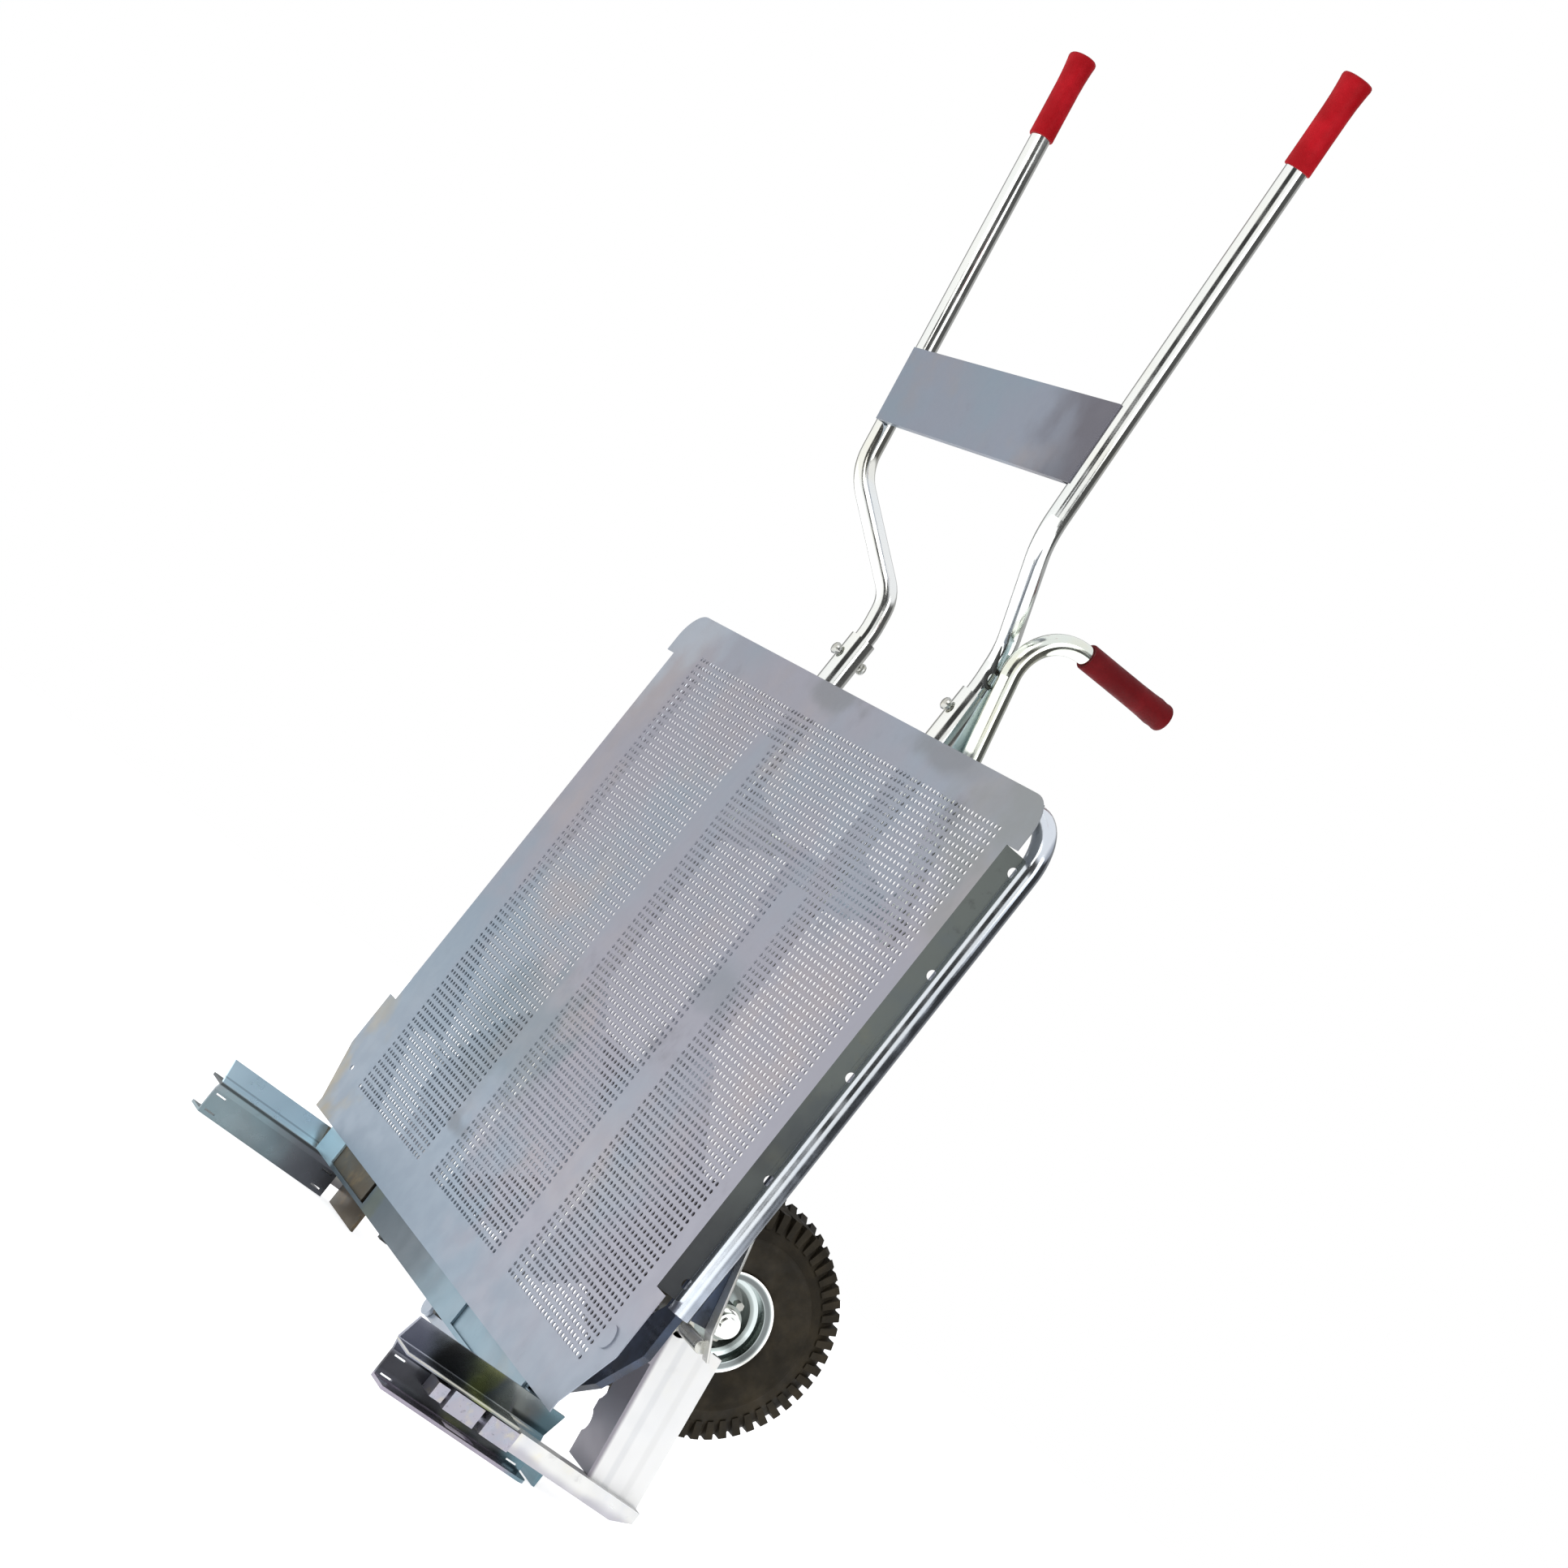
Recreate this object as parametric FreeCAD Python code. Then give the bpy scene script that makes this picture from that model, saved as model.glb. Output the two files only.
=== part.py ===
# Brick cart: a perforated back panel in a tube frame, two pneumatic wheels on one axle,
# a pair of sliding jaws at the foot that grip a layer of bricks, and a hand lever that opens them.
# Frame: +X is the cart's right, +Y is the rear (wheel side), +Z is up, millimetres.
# The cart stands upright on the soles of its jaws, and the origin is the middle of its footprint.
import FreeCAD, Part
import math
import os

V = FreeCAD.Vector

# general clearances
SLIDE_GAP = 0.5        # sliding square tube in square tube, per side
RUN_GAP = 0.05         # radial clearance of a pin in its bush
SWING_GAP = 0.6        # side gap between parts that move past each other
PIN_SLOT_GAP = 1.2     # play of a pin across its slot

# sheet panel
SHEET = 1.5
PANEL_FOLD_X = 517.0   # half width between the side folds
PANEL_EAR = 25.0       # the flat ears stand this far past the fold line
PANEL_TOP = 910.0
PANEL_LAP = 5.0        # the panel's foot hangs this far in front of the beam
PANEL_CORNER_R = 42.0
PANEL_CHAMFER_X = 39.0
PANEL_CHAMFER_Z = 78.0
CHAMFER_BASE_Z = 98.0
FLANGE_LOW = 257.0
FLANGE_HIGH = 846.0
FLANGE_DEPTH = 27.0
NOTCH_R = 6.0
NOTCH_FIRST_Z = 277.0
NOTCH_PITCH = 137.5
NOTCH_COUNT = 5
PANEL_HOLE_R = 4.0
PANEL_HOLE_INSET = 55.0  # from the edge of the left ear
PANEL_HOLE_Z = 154.0
PLUG_INSET = 38.0      # from the edge of the right ear
PLUG_Z = 184.0
PLUG_R = 14.0
PLUG_T = 2.0
MESH_LOW = 142.0       # the openings fill the sheet from here up
MESH_TOP_EDGE = 48.0   # and end this far below its top
MESH_EDGE_LEFT = 84.0  # from the left fold to the first field
MESH_EDGE_RIGHT = 30.0 # from the last field to the right fold
MESH_BAND = 50.0       # plain band over each rail, between the fields
MESH_BAND_OFF = 22.0   # the bands start this far in from the rails' middles
MESH_COLUMNS = 4       # openings across each field
MESH_ROWS = 10
MESH_HOLE = 0.29       # radius of an opening as a part of the pitch

# round tubes of the frame, the handles and the lever
TUBE_R = 13.5
TUBE_WALL = 2.5
SIDE_TUBE_LOW = 246.0
SIDE_BEND_R = 62.0
BRACE_W = 30.0         # plate between the foot of each side tube and the beam's end
BRACE_T = 10.0
BRACE_SHOULDER = 54.0  # its outer edge runs straight down this far below the tube
BRACE_NOSE_IN = 30.5   # its outer corner, in from the tube's middle
BRACE_NOSE_UP = 44.0   # and above the beam

# rails that carry the handles
RAIL_IN = 157.0        # from the wheel's middle to the rail's
RAIL_R = 17.5
RAIL_TOP = 986.0
HANDLE_GAP = 0.5       # between the handle tube and the rail's bore
CLAMP_Z = 956.0        # bolts that clamp the handle tubes
CLAMP_R = 5.0
CLAMP_GAP = 0.3
CLAMP_HEAD_R = 8.0
CLAMP_HEAD_T = 5.0
CLAMP_NUT_T = 4.0
CLAMP_REACH = 3.0

# cross beam and the arms that slide in it
BEAM = 40.0
BEAM_WALL = 3.0
BEAM_Z = 70.0          # middle height
BEAM_INSET = 99.0      # from the panel's side fold to the beam's end
WINDOW_OFF = 30.0      # front windows that show the arms, from the rail's middle
WINDOW_END = 68.0      # from a window to the beam's end
WINDOW_H = 29.0
LIMIT_OFF = 43.0       # bolts under the beam, in from the rails
LIMIT_HEAD_R = 9.0
LIMIT_HEAD_T = 7.0

# jaws
JAW_OFF = 12.0         # from the beam's end to the inner face of the channel's web
JAW_SHEET = 4.0
JAW_CHANNEL_H = 49.0
JAW_LIP_H = 31.0
JAW_RIDGE = 7.0        # the fold stands this far in from the web
JAW_FLARE = 6.0        # the lip's top leans this far out from the web
JAW_RIDGE_DROP = 13.0
JAW_DEPTH = 38.0
JAW_FRONT_Y = -153.0
JAW_REAR_Y = 55.0
JAW_TRAVEL = 25.0
SLIT_L = 16.0
SLIT_H = 2.5
SLIT_EDGE = 6.0

# bar and upright that tie each jaw to its guide pin
BAR = 24.0
BAR_Z = 32.0
BAR_OUT = 10.0         # from the web's inner face to the bar's inner side
BAR_FRONT_Y = 12.0
BAR_REAR_Y = 188.0
BAR_WALL = 2.5
UPRIGHT_T = 4.0
UPRIGHT_OUT = 21.0     # from the jaw's inner face to the upright's outer face
UPRIGHT_W = 74.0
UPRIGHT_FLANGE = 62.0
UPRIGHT_BACK = 18.0
UPRIGHT_TOP = 219.0
UPRIGHT_TOP_Y = 83.0
UPRIGHT_FOOT_Y = 114.0
STOP_LONG = 108.0
STOP_H = 32.0
STOP_Y = 74.0
STOP_T = 4.0

# guide pins at the rear
GUIDE_R = 8.0
GUIDE_Y = 93.0
GUIDE_Z = 232.0
GUIDE_BUSH_R = 13.0
GUIDE_PIN_IN = 75.0    # the pin reaches this far in from the upright's outer face

# outer gussets between the side tubes and the guide pins
GUSSET_T = 4.0
GUSSET_TOP_Z = 430.0
GUSSET_TOP_W = 12.0
GUSSET_WAIST_IN = 9.0  # the sloping edge ends this far ahead of the pin
GUSSET_WAIST_UP = 30.0 # and this far above it
GUSSET_EDGE = 14.0     # plate above and below the pin
GUSSET_NOSE = 4.0
GUSSET_FLANGE = 22.0
GUSSET_RIB_T = 3.0

# wheels
WHEEL_R = 148.0
TYRE_W = 84.0
WHEEL_IN = 67.0        # from the upright's front flange to the wheel's middle
AXLE_Y = 184.0
AXLE_Z = 253.0
AXLE_R = 10.0
AXLE_OUT = 52.0        # the axle reaches this far past the wheel's middle
RIM_R = 60.0
RIM_W = 65.0
RIM_WELL_R = 42.0
HUB_R = 21.0
HUB_HALF = 36.0
RIM_SHEET = 2.5
WASHER_T = 2.5
COLLAR_LONG = 10.0
SPACER_WALL = 4.0
AXLE_PLATE_T = 6.0
AXLE_PLATE_UP = 217.0
AXLE_PLATE_DOWN = 103.0
AXLE_PLATE_EDGE = 20.0
AXLE_BOSS_R = 24.0
AXLE_BOSS_LONG = 14.0
BEARING_OD = 17.0      # outer radius of the wheel's bearings
BEARING_LONG = 12.0
RIM_BOLT_CIRCLE = 30.0 # radius of the circle of bolts that join the rim's halves
RIM_BOLT_R = 5.5
RIM_BOLT_T = 5.0
RIM_BOLT_COUNT = 4

# handles
HANDLE_FOOT_Z = 800.0
HANDLE_LIFT = 100.0    # the handles can be set this much higher
GRIP_FLARE = 22.0
HANDLE_KNEE_AT = (4.0, 34.0, 1048.0)     # corners of the bent tube, x from the rail
HANDLE_BEND_AT = (97.0, -63.0, 1156.0)
HANDLE_TOP_AT = (170.0, -148.0, 1750.0)
HANDLE_STRAIGHT_Z = 1000.0
HANDLE_BEND_R = 55.0
GRIP_LONG = 119.0
GRIP_R = 16.5
GRIP_END_R = 19.0
GRIP_CAP = 4.0         # closed end of a grip, beyond the tube
CROSS_LOW_Z = 1222.0
CROSS_HIGH_Z = 1324.0
CROSS_T = 3.0
CROSS_LIP = 12.0

# hand lever
LEVER_OFF = 51.0       # from the right rail's middle
LEVER_R = 12.5
LEVER_WALL = 2.5
LEVER_HEEL = 26.0      # the tube runs this far past its shaft
LEVER_SHAFT_Y = 116.0
LEVER_SHAFT_Z = 720.0
LEVER_SHAFT_R = 10.0
LEVER_CORNER = (16.0, 1095.0)
LEVER_END = (225.0, 1105.5)
LEVER_BEND_R = 62.0
LEVER_GRIP_LONG = 128.0
LEVER_GRIP_R = 17.5
LEVER_SWING = 30.0     # degrees
DRIVE_ARM = 60.0
SHAFT_OUT = 8.0        # the shaft stands this far out of what it passes through
BEARING_T = 8.0
BEARING_R = 18.0
GUIDE_PLATE_T = 3.0    # plate beside the lever
GUIDE_PLATE_GAP = 1.0
GUIDE_PLATE_HIGH = 152.0  # heights above the top tube
GUIDE_PLATE_NECK = 116.0
GUIDE_PLATE_DEEP = 34.0
GUIDE_PLATE_LOW = 18.0
ROD_PIN_R = 5.0
ROD_T = 5.0
ROD_W = 22.0

# crank that spreads the jaws
CRANK_R = 45.0
CRANK_Y = 62.0
CRANK_T = 6.0
CRANK_Z = 75.0
CRANK_BOSS_R = 16.0
CRANK_PIN_R = 6.0
CRANK_PIVOT_R = 8.0
TIE_T = 5.0
TIE_W = 26.0
TIE_END_OFF = 61.0     # from the rail's middle
TIE_EYE = 6.0          # wall round the slot
TAB_W = 14.0

# derived places
PANEL_HOLE_X = PANEL_HOLE_INSET - PANEL_FOLD_X - PANEL_EAR
PLUG_X = PANEL_FOLD_X + PANEL_EAR - PLUG_INSET
BEAM_HALF = PANEL_FOLD_X - BEAM_INSET
WINDOW_OUT = BEAM_HALF - WINDOW_END
JAW_X = BEAM_HALF + JAW_OFF
UPRIGHT_X = JAW_X + UPRIGHT_OUT
GUIDE_INNER_X = UPRIGHT_X - GUIDE_PIN_IN
WHEEL_X = UPRIGHT_X - UPRIGHT_FLANGE - WHEEL_IN
AXLE_HALF = WHEEL_X + AXLE_OUT
RAIL_X = WHEEL_X - RAIL_IN
WINDOW_IN = RAIL_X + WINDOW_OFF
LIMIT_X = RAIL_X - LIMIT_OFF
LEVER_X = RAIL_X + LEVER_OFF
TIE_END_X = RAIL_X + TIE_END_OFF
HANDLE_KNEE = (RAIL_X + HANDLE_KNEE_AT[0], *HANDLE_KNEE_AT[1:])
HANDLE_BEND = (RAIL_X + HANDLE_BEND_AT[0], *HANDLE_BEND_AT[1:])
HANDLE_TOP = (RAIL_X + HANDLE_TOP_AT[0], *HANDLE_TOP_AT[1:])
FRAME_Y = FLANGE_DEPTH + TUBE_R
SIDE_X = PANEL_FOLD_X + 2.5
TOP_TUBE_Z = PANEL_TOP - SHEET - TUBE_R
RAIL_BORE_R = TUBE_R + HANDLE_GAP
RAIL_Y = FRAME_Y + 1.0
BEAM_Y = SHEET + BEAM / 2
BEAM_TOP = BEAM_Z + BEAM / 2
BEAM_LOW = BEAM_Z - BEAM / 2
BEAM_REAR = SHEET + BEAM
ARM = BEAM - 2 * BEAM_WALL - 2 * SLIDE_GAP
JAW_TOP = JAW_CHANNEL_H + JAW_LIP_H
CRANK_SWING = math.degrees(math.asin(JAW_TRAVEL / CRANK_R))
ROD_ARM = DRIVE_ARM * math.sin(math.radians(LEVER_SWING)) / math.sin(math.radians(CRANK_SWING))
TIE_Y = CRANK_Y + CRANK_T + SWING_GAP
GRIP_RUN = [b - a for a, b in zip(HANDLE_BEND, HANDLE_TOP)]
GRIP_LEAN = GRIP_RUN[1] / math.sqrt(sum(c * c for c in GRIP_RUN))
FRONT_EDGE = HANDLE_TOP[1] + GRIP_CAP * GRIP_LEAN - GRIP_END_R * math.sqrt(1 - GRIP_LEAN ** 2)
REAR_EDGE = AXLE_Y + WHEEL_R
ORIGIN_Y = (FRONT_EDGE + REAR_EDGE) / 2


def box(x0, x1, y0, y1, z0, z1):
    return Part.makeBox(x1 - x0, y1 - y0, z1 - z0, V(x0, y0, z0))


def rod(r, start, end):
    a = V(*start)
    b = V(*end)
    return Part.makeCylinder(r, (b - a).Length, a, b - a)


def prism_x(points, x0, x1):
    # an outline given as (y, z), extruded along X
    wire = Part.makePolygon([V(x0, y, z) for y, z in points] + [V(x0, *points[0])])
    return Part.Face(wire).extrude(V(x1 - x0, 0, 0))


def prism_y(points, y0, y1):
    # an outline given as (x, z), extruded along Y
    wire = Part.makePolygon([V(x, y0, z) for x, z in points] + [V(points[0][0], y0, points[0][1])])
    return Part.Face(wire).extrude(V(0, y1 - y0, 0))


def slot_y(cx, cz, half, r, y0, y1, along="x"):
    # a round-ended slot through a plate that faces Y
    dx, dz = (half, 0) if along == "x" else (0, half)
    ends = [rod(r, (cx + s * dx, y0, cz + s * dz), (cx + s * dx, y1, cz + s * dz)) for s in (-1, 1)]
    if along == "x":
        middle = box(cx - half, cx + half, y0, y1, cz - r, cz + r)
    else:
        middle = box(cx - r, cx + r, y0, y1, cz - half, cz + half)
    return middle.fuse(ends)


def bent_path(points, radius):
    # straight runs joined by tangent arcs of one radius
    pts = [V(*p) for p in points]
    edges = []
    start = pts[0]
    for i in range(1, len(pts) - 1):
        into = (pts[i] - pts[i - 1]).normalize()
        out = (pts[i + 1] - pts[i]).normalize()
        turn = into.getAngle(out)
        reach = radius * math.tan(turn / 2)
        a = pts[i] - into * reach
        b = pts[i] + out * reach
        inward = (out - into).normalize()
        middle = pts[i] + inward * (radius / math.cos(turn / 2) - radius)
        edges.append(Part.LineSegment(start, a).toShape())
        edges.append(Part.Arc(a, middle, b).toShape())
        start = b
    edges.append(Part.LineSegment(start, pts[-1]).toShape())
    return Part.Wire(edges)


def sweep(path, r):
    first = path.Edges[0]
    start = first.valueAt(first.FirstParameter)
    heading = first.tangentAt(first.FirstParameter)
    ring = Part.Wire(Part.makeCircle(r, start, heading))
    return path.makePipeShell([ring], True, False)


def bent_tube(points, radius, r=TUBE_R, wall=TUBE_WALL):
    path = bent_path(points, radius)
    return sweep(path, r).cut(sweep(path, r - wall))


def square_tube_x(x0, x1, cy, cz, size, wall):
    h = size / 2
    k = h - wall
    return box(x0, x1, cy - h, cy + h, cz - h, cz + h).cut(box(x0, x1, cy - k, cy + k, cz - k, cz + k))


def mirrored(shape):
    return shape.mirror(V(0, 0, 0), V(1, 0, 0))


def side(shape, sign):
    # right-hand shapes are drawn first, the left-hand ones are their mirror image
    return shape if sign > 0 else mirrored(shape)


def along(a, b, t):
    return tuple(p + (q - p) * t for p, q in zip(a, b))


def hexagon_y(cx, cz, r, y0, y1):
    pts = [(cx + r * math.cos(math.radians(60 * k)), cz + r * math.sin(math.radians(60 * k))) for k in range(6)]
    return prism_y(pts, y0, y1)


# the sheet panel with its folded edges

def panel_outline():
    ear = PANEL_FOLD_X + PANEL_EAR
    right = [
        (ear - PANEL_CHAMFER_X, CHAMFER_BASE_Z),
        (ear, CHAMFER_BASE_Z + PANEL_CHAMFER_Z),
        (ear, FLANGE_LOW),
        (PANEL_FOLD_X, FLANGE_LOW),
        (PANEL_FOLD_X, FLANGE_HIGH),
        (ear, FLANGE_HIGH),
        (ear, PANEL_TOP),
    ]
    foot = [(ear - PANEL_CHAMFER_X, BEAM_TOP - PANEL_LAP)]
    return foot + right + [(-x, z) for x, z in reversed(foot + right)]


def top_corners(solid):
    picked = [
        e for e in solid.Edges
        if abs(e.BoundBox.ZMin - PANEL_TOP) < 0.01 and e.BoundBox.XLength < 0.01 and abs(e.BoundBox.YLength - SHEET) < 0.01
    ]
    return solid.makeFillet(PANEL_CORNER_R, picked)


def mesh_fields():
    # left and right edge of each field of openings
    return (
        (MESH_EDGE_LEFT - PANEL_FOLD_X, MESH_BAND_OFF - RAIL_X),
        (MESH_BAND_OFF + MESH_BAND - RAIL_X, RAIL_X + MESH_BAND_OFF - 10),
        (RAIL_X + MESH_BAND_OFF - 10 + MESH_BAND, PANEL_FOLD_X - MESH_EDGE_RIGHT),
    )


def mesh_openings():
    rise = (PANEL_TOP - MESH_TOP_EDGE - MESH_LOW) / MESH_ROWS
    openings = []
    for x0, x1 in mesh_fields():
        step = (x1 - x0) / MESH_COLUMNS
        r = MESH_HOLE * min(step, rise)
        for column in range(MESH_COLUMNS):
            for row in range(MESH_ROWS):
                x = x0 + (column + 0.5) * step
                z = MESH_LOW + (row + 0.5) * rise
                openings.append(rod(r, (x, -1, z), (x, SHEET + 1, z)))
    return openings


def panel():
    sheet = top_corners(prism_y(panel_outline(), 0, SHEET))
    sheet = sheet.cut(mesh_openings())
    sheet = sheet.cut(rod(PANEL_HOLE_R, (PANEL_HOLE_X, -1, PANEL_HOLE_Z), (PANEL_HOLE_X, SHEET + 1, PANEL_HOLE_Z)))
    folds = []
    for sign in (-1, 1):
        flange = box(PANEL_FOLD_X - SHEET, PANEL_FOLD_X, 0, FLANGE_DEPTH, FLANGE_LOW, FLANGE_HIGH)
        for k in range(NOTCH_COUNT):
            z = NOTCH_FIRST_Z + k * NOTCH_PITCH
            flange = flange.cut(rod(NOTCH_R, (PANEL_FOLD_X - 9, FLANGE_DEPTH, z), (PANEL_FOLD_X + 9, FLANGE_DEPTH, z)))
        folds.append(side(flange, sign))
    top_half = SIDE_X - SIDE_BEND_R
    top = box(-top_half, top_half, 0, FRAME_Y, PANEL_TOP - SHEET, PANEL_TOP)
    for sign in (-1, 1):
        top = top.cut(rod(RAIL_R, (sign * RAIL_X, RAIL_Y, PANEL_TOP - 9), (sign * RAIL_X, RAIL_Y, PANEL_TOP + 9)))
    folds.append(top)
    return sheet.fuse(folds).removeSplitter()


def panel_plug():
    return rod(PLUG_R, (PLUG_X, -PLUG_T, PLUG_Z), (PLUG_X, 0, PLUG_Z))


# the tube frame behind the panel

def side_tube():
    points = [(SIDE_X, FRAME_Y, SIDE_TUBE_LOW), (SIDE_X, FRAME_Y, TOP_TUBE_Z), (RAIL_X, FRAME_Y, TOP_TUBE_Z)]
    return bent_tube(points, SIDE_BEND_R).cut(rail_core())


def rail_core():
    return rod(RAIL_R, (RAIL_X, RAIL_Y, BEAM_TOP), (RAIL_X, RAIL_Y, RAIL_TOP))


def top_tube():
    tube = bent_free_tube((-RAIL_X, FRAME_Y, TOP_TUBE_Z), (RAIL_X, FRAME_Y, TOP_TUBE_Z))
    return tube.cut(rail_core()).cut(mirrored(rail_core()))


def bent_free_tube(start, end, r=TUBE_R, wall=TUBE_WALL):
    return rod(r, start, end).cut(rod(r - wall, start, end))


def back_rail():
    rail = rail_core().cut(rod(RAIL_BORE_R, (RAIL_X, RAIL_Y, BEAM_TOP), (RAIL_X, RAIL_Y, RAIL_TOP)))
    for y in clamp_faces():
        rail = rail.cut(rod(CLAMP_R, (RAIL_X, y, CLAMP_Z), (RAIL_X, RAIL_Y, CLAMP_Z)))
    return rail


def clamp_faces():
    return (RAIL_Y - RAIL_R - CLAMP_NUT_T, RAIL_Y + RAIL_R + CLAMP_NUT_T)


def clamp_bolts():
    solids = []
    for sign in (-1, 1):
        for turn in (-1, 1):
            tip = RAIL_Y + turn * (TUBE_R + CLAMP_GAP)
            nut_in = RAIL_Y + turn * (RAIL_R - CLAMP_HEAD_R)
            nut_out = RAIL_Y + turn * (RAIL_R + CLAMP_NUT_T)
            shank_end = nut_out + turn * CLAMP_REACH
            head_end = shank_end + turn * CLAMP_HEAD_T
            x = sign * RAIL_X
            nut = hexagon_y(x, CLAMP_Z, CLAMP_HEAD_R, min(nut_in, nut_out), max(nut_in, nut_out))
            nut = nut.cut(rod(RAIL_R, (x, RAIL_Y, CLAMP_Z - 20), (x, RAIL_Y, CLAMP_Z + 20)))
            shank = rod(CLAMP_R, (x, tip, CLAMP_Z), (x, shank_end, CLAMP_Z))
            head = hexagon_y(x, CLAMP_Z, CLAMP_HEAD_R - 1, min(shank_end, head_end), max(shank_end, head_end))
            solids.append(nut.fuse([shank, head]))
    return Part.makeCompound(solids)


def cross_beam():
    beam = square_tube_x(-BEAM_HALF, BEAM_HALF, BEAM_Y, BEAM_Z, BEAM, BEAM_WALL)
    for sign in (-1, 1):
        window = box(WINDOW_IN, WINDOW_OUT, SHEET - 1, SHEET + BEAM_WALL + 1, BEAM_Z - WINDOW_H / 2, BEAM_Z + WINDOW_H / 2)
        beam = beam.cut(side(window, sign))
        slot = box(
            TIE_END_X - TAB_W / 2 - SWING_GAP, TIE_END_X + TAB_W / 2 + JAW_TRAVEL + SWING_GAP,
            BEAM_REAR - BEAM_WALL - 1, BEAM_REAR + 1,
            BEAM_Z - TAB_W / 2 - SWING_GAP, BEAM_Z + TAB_W / 2 + SWING_GAP,
        )
        beam = beam.cut(side(slot, sign))
    return beam


def limit_bolts():
    solids = []
    for sign in (-1, 1):
        pts = [(sign * LIMIT_X + LIMIT_HEAD_R * math.cos(math.radians(60 * k)),
                BEAM_Y + LIMIT_HEAD_R * math.sin(math.radians(60 * k))) for k in range(6)]
        wire = Part.makePolygon([V(x, y, BEAM_LOW - LIMIT_HEAD_T) for x, y in pts + pts[:1]])
        solids.append(Part.Face(wire).extrude(V(0, 0, LIMIT_HEAD_T)))
    return Part.makeCompound(solids)


def corner_brace():
    # plate from the foot of the side tube down to the end of the beam
    outer = SIDE_X + TUBE_R
    outline = [
        (SIDE_X - BRACE_W / 2, SIDE_TUBE_LOW),
        (BEAM_HALF - BRACE_W, BEAM_TOP),
        (BEAM_HALF, BEAM_TOP),
        (SIDE_X - BRACE_NOSE_IN, BEAM_TOP + BRACE_NOSE_UP),
        (outer, SIDE_TUBE_LOW - BRACE_SHOULDER),
        (outer, SIDE_TUBE_LOW),
    ]
    return prism_y(outline, FRAME_Y - BRACE_T, FRAME_Y)


# axle and its carriers

def axle():
    return rod(AXLE_R, (-AXLE_HALF, AXLE_Y, AXLE_Z), (AXLE_HALF, AXLE_Y, AXLE_Z))


def axle_bracket():
    x0 = RAIL_X + RAIL_R
    x1 = x0 + AXLE_PLATE_T
    x2 = x1 + AXLE_BOSS_LONG
    deep = RAIL_Y + AXLE_PLATE_EDGE
    outline = [
        (RAIL_Y, AXLE_Z - AXLE_PLATE_DOWN),
        (RAIL_Y, AXLE_Z + AXLE_PLATE_UP),
        (deep, AXLE_Z + AXLE_PLATE_UP),
        (AXLE_Y + 16, AXLE_Z + 26),
        (AXLE_Y + 24, AXLE_Z - 4),
        (AXLE_Y + 4, AXLE_Z - 26),
        (deep, AXLE_Z - AXLE_PLATE_DOWN),
    ]
    plate = prism_x(outline, x0, x1)
    boss = rod(AXLE_BOSS_R, (x1, AXLE_Y, AXLE_Z), (x2, AXLE_Y, AXLE_Z))
    return plate.fuse(boss).cut(rod(AXLE_R, (x0 - 1, AXLE_Y, AXLE_Z), (x2 + 1, AXLE_Y, AXLE_Z)))


def spacer_tube():
    x0 = RAIL_X + RAIL_R + AXLE_PLATE_T + AXLE_BOSS_LONG
    x1 = WHEEL_X - HUB_HALF - WASHER_T - SWING_GAP
    core = rod(AXLE_R, (x0, AXLE_Y, AXLE_Z), (x1, AXLE_Y, AXLE_Z))
    return rod(AXLE_R + SPACER_WALL, (x0, AXLE_Y, AXLE_Z), (x1, AXLE_Y, AXLE_Z)).cut(core)


def axle_spacers():
    return Part.makeCompound([spacer_tube(), mirrored(spacer_tube())])


def ring_x(r, x0, x1):
    core = rod(AXLE_R, (x0, AXLE_Y, AXLE_Z), (x1, AXLE_Y, AXLE_Z))
    return rod(r, (x0, AXLE_Y, AXLE_Z), (x1, AXLE_Y, AXLE_Z)).cut(core)


def axle_stops():
    # a washer on each side of each hub, and a set collar outside it
    inner = WHEEL_X - HUB_HALF - SWING_GAP - WASHER_T
    outer = WHEEL_X + HUB_HALF + SWING_GAP
    collar = outer + WASHER_T
    rings = [
        ring_x(AXLE_R + 7, inner, inner + WASHER_T),
        ring_x(AXLE_R + 7, outer, outer + WASHER_T),
        ring_x(AXLE_R + 5, collar, collar + COLLAR_LONG),
    ]
    return Part.makeCompound([side(ring, sign) for sign in (-1, 1) for ring in rings])


def revolve_x(points, cx):
    # an outline given as (x, radius) about the axle line
    wire = Part.makePolygon([V(cx + x, AXLE_Y, AXLE_Z + r) for x, r in points + points[:1]])
    return Part.Face(wire).revolve(V(cx, AXLE_Y, AXLE_Z), V(1, 0, 0), 360)


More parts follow.
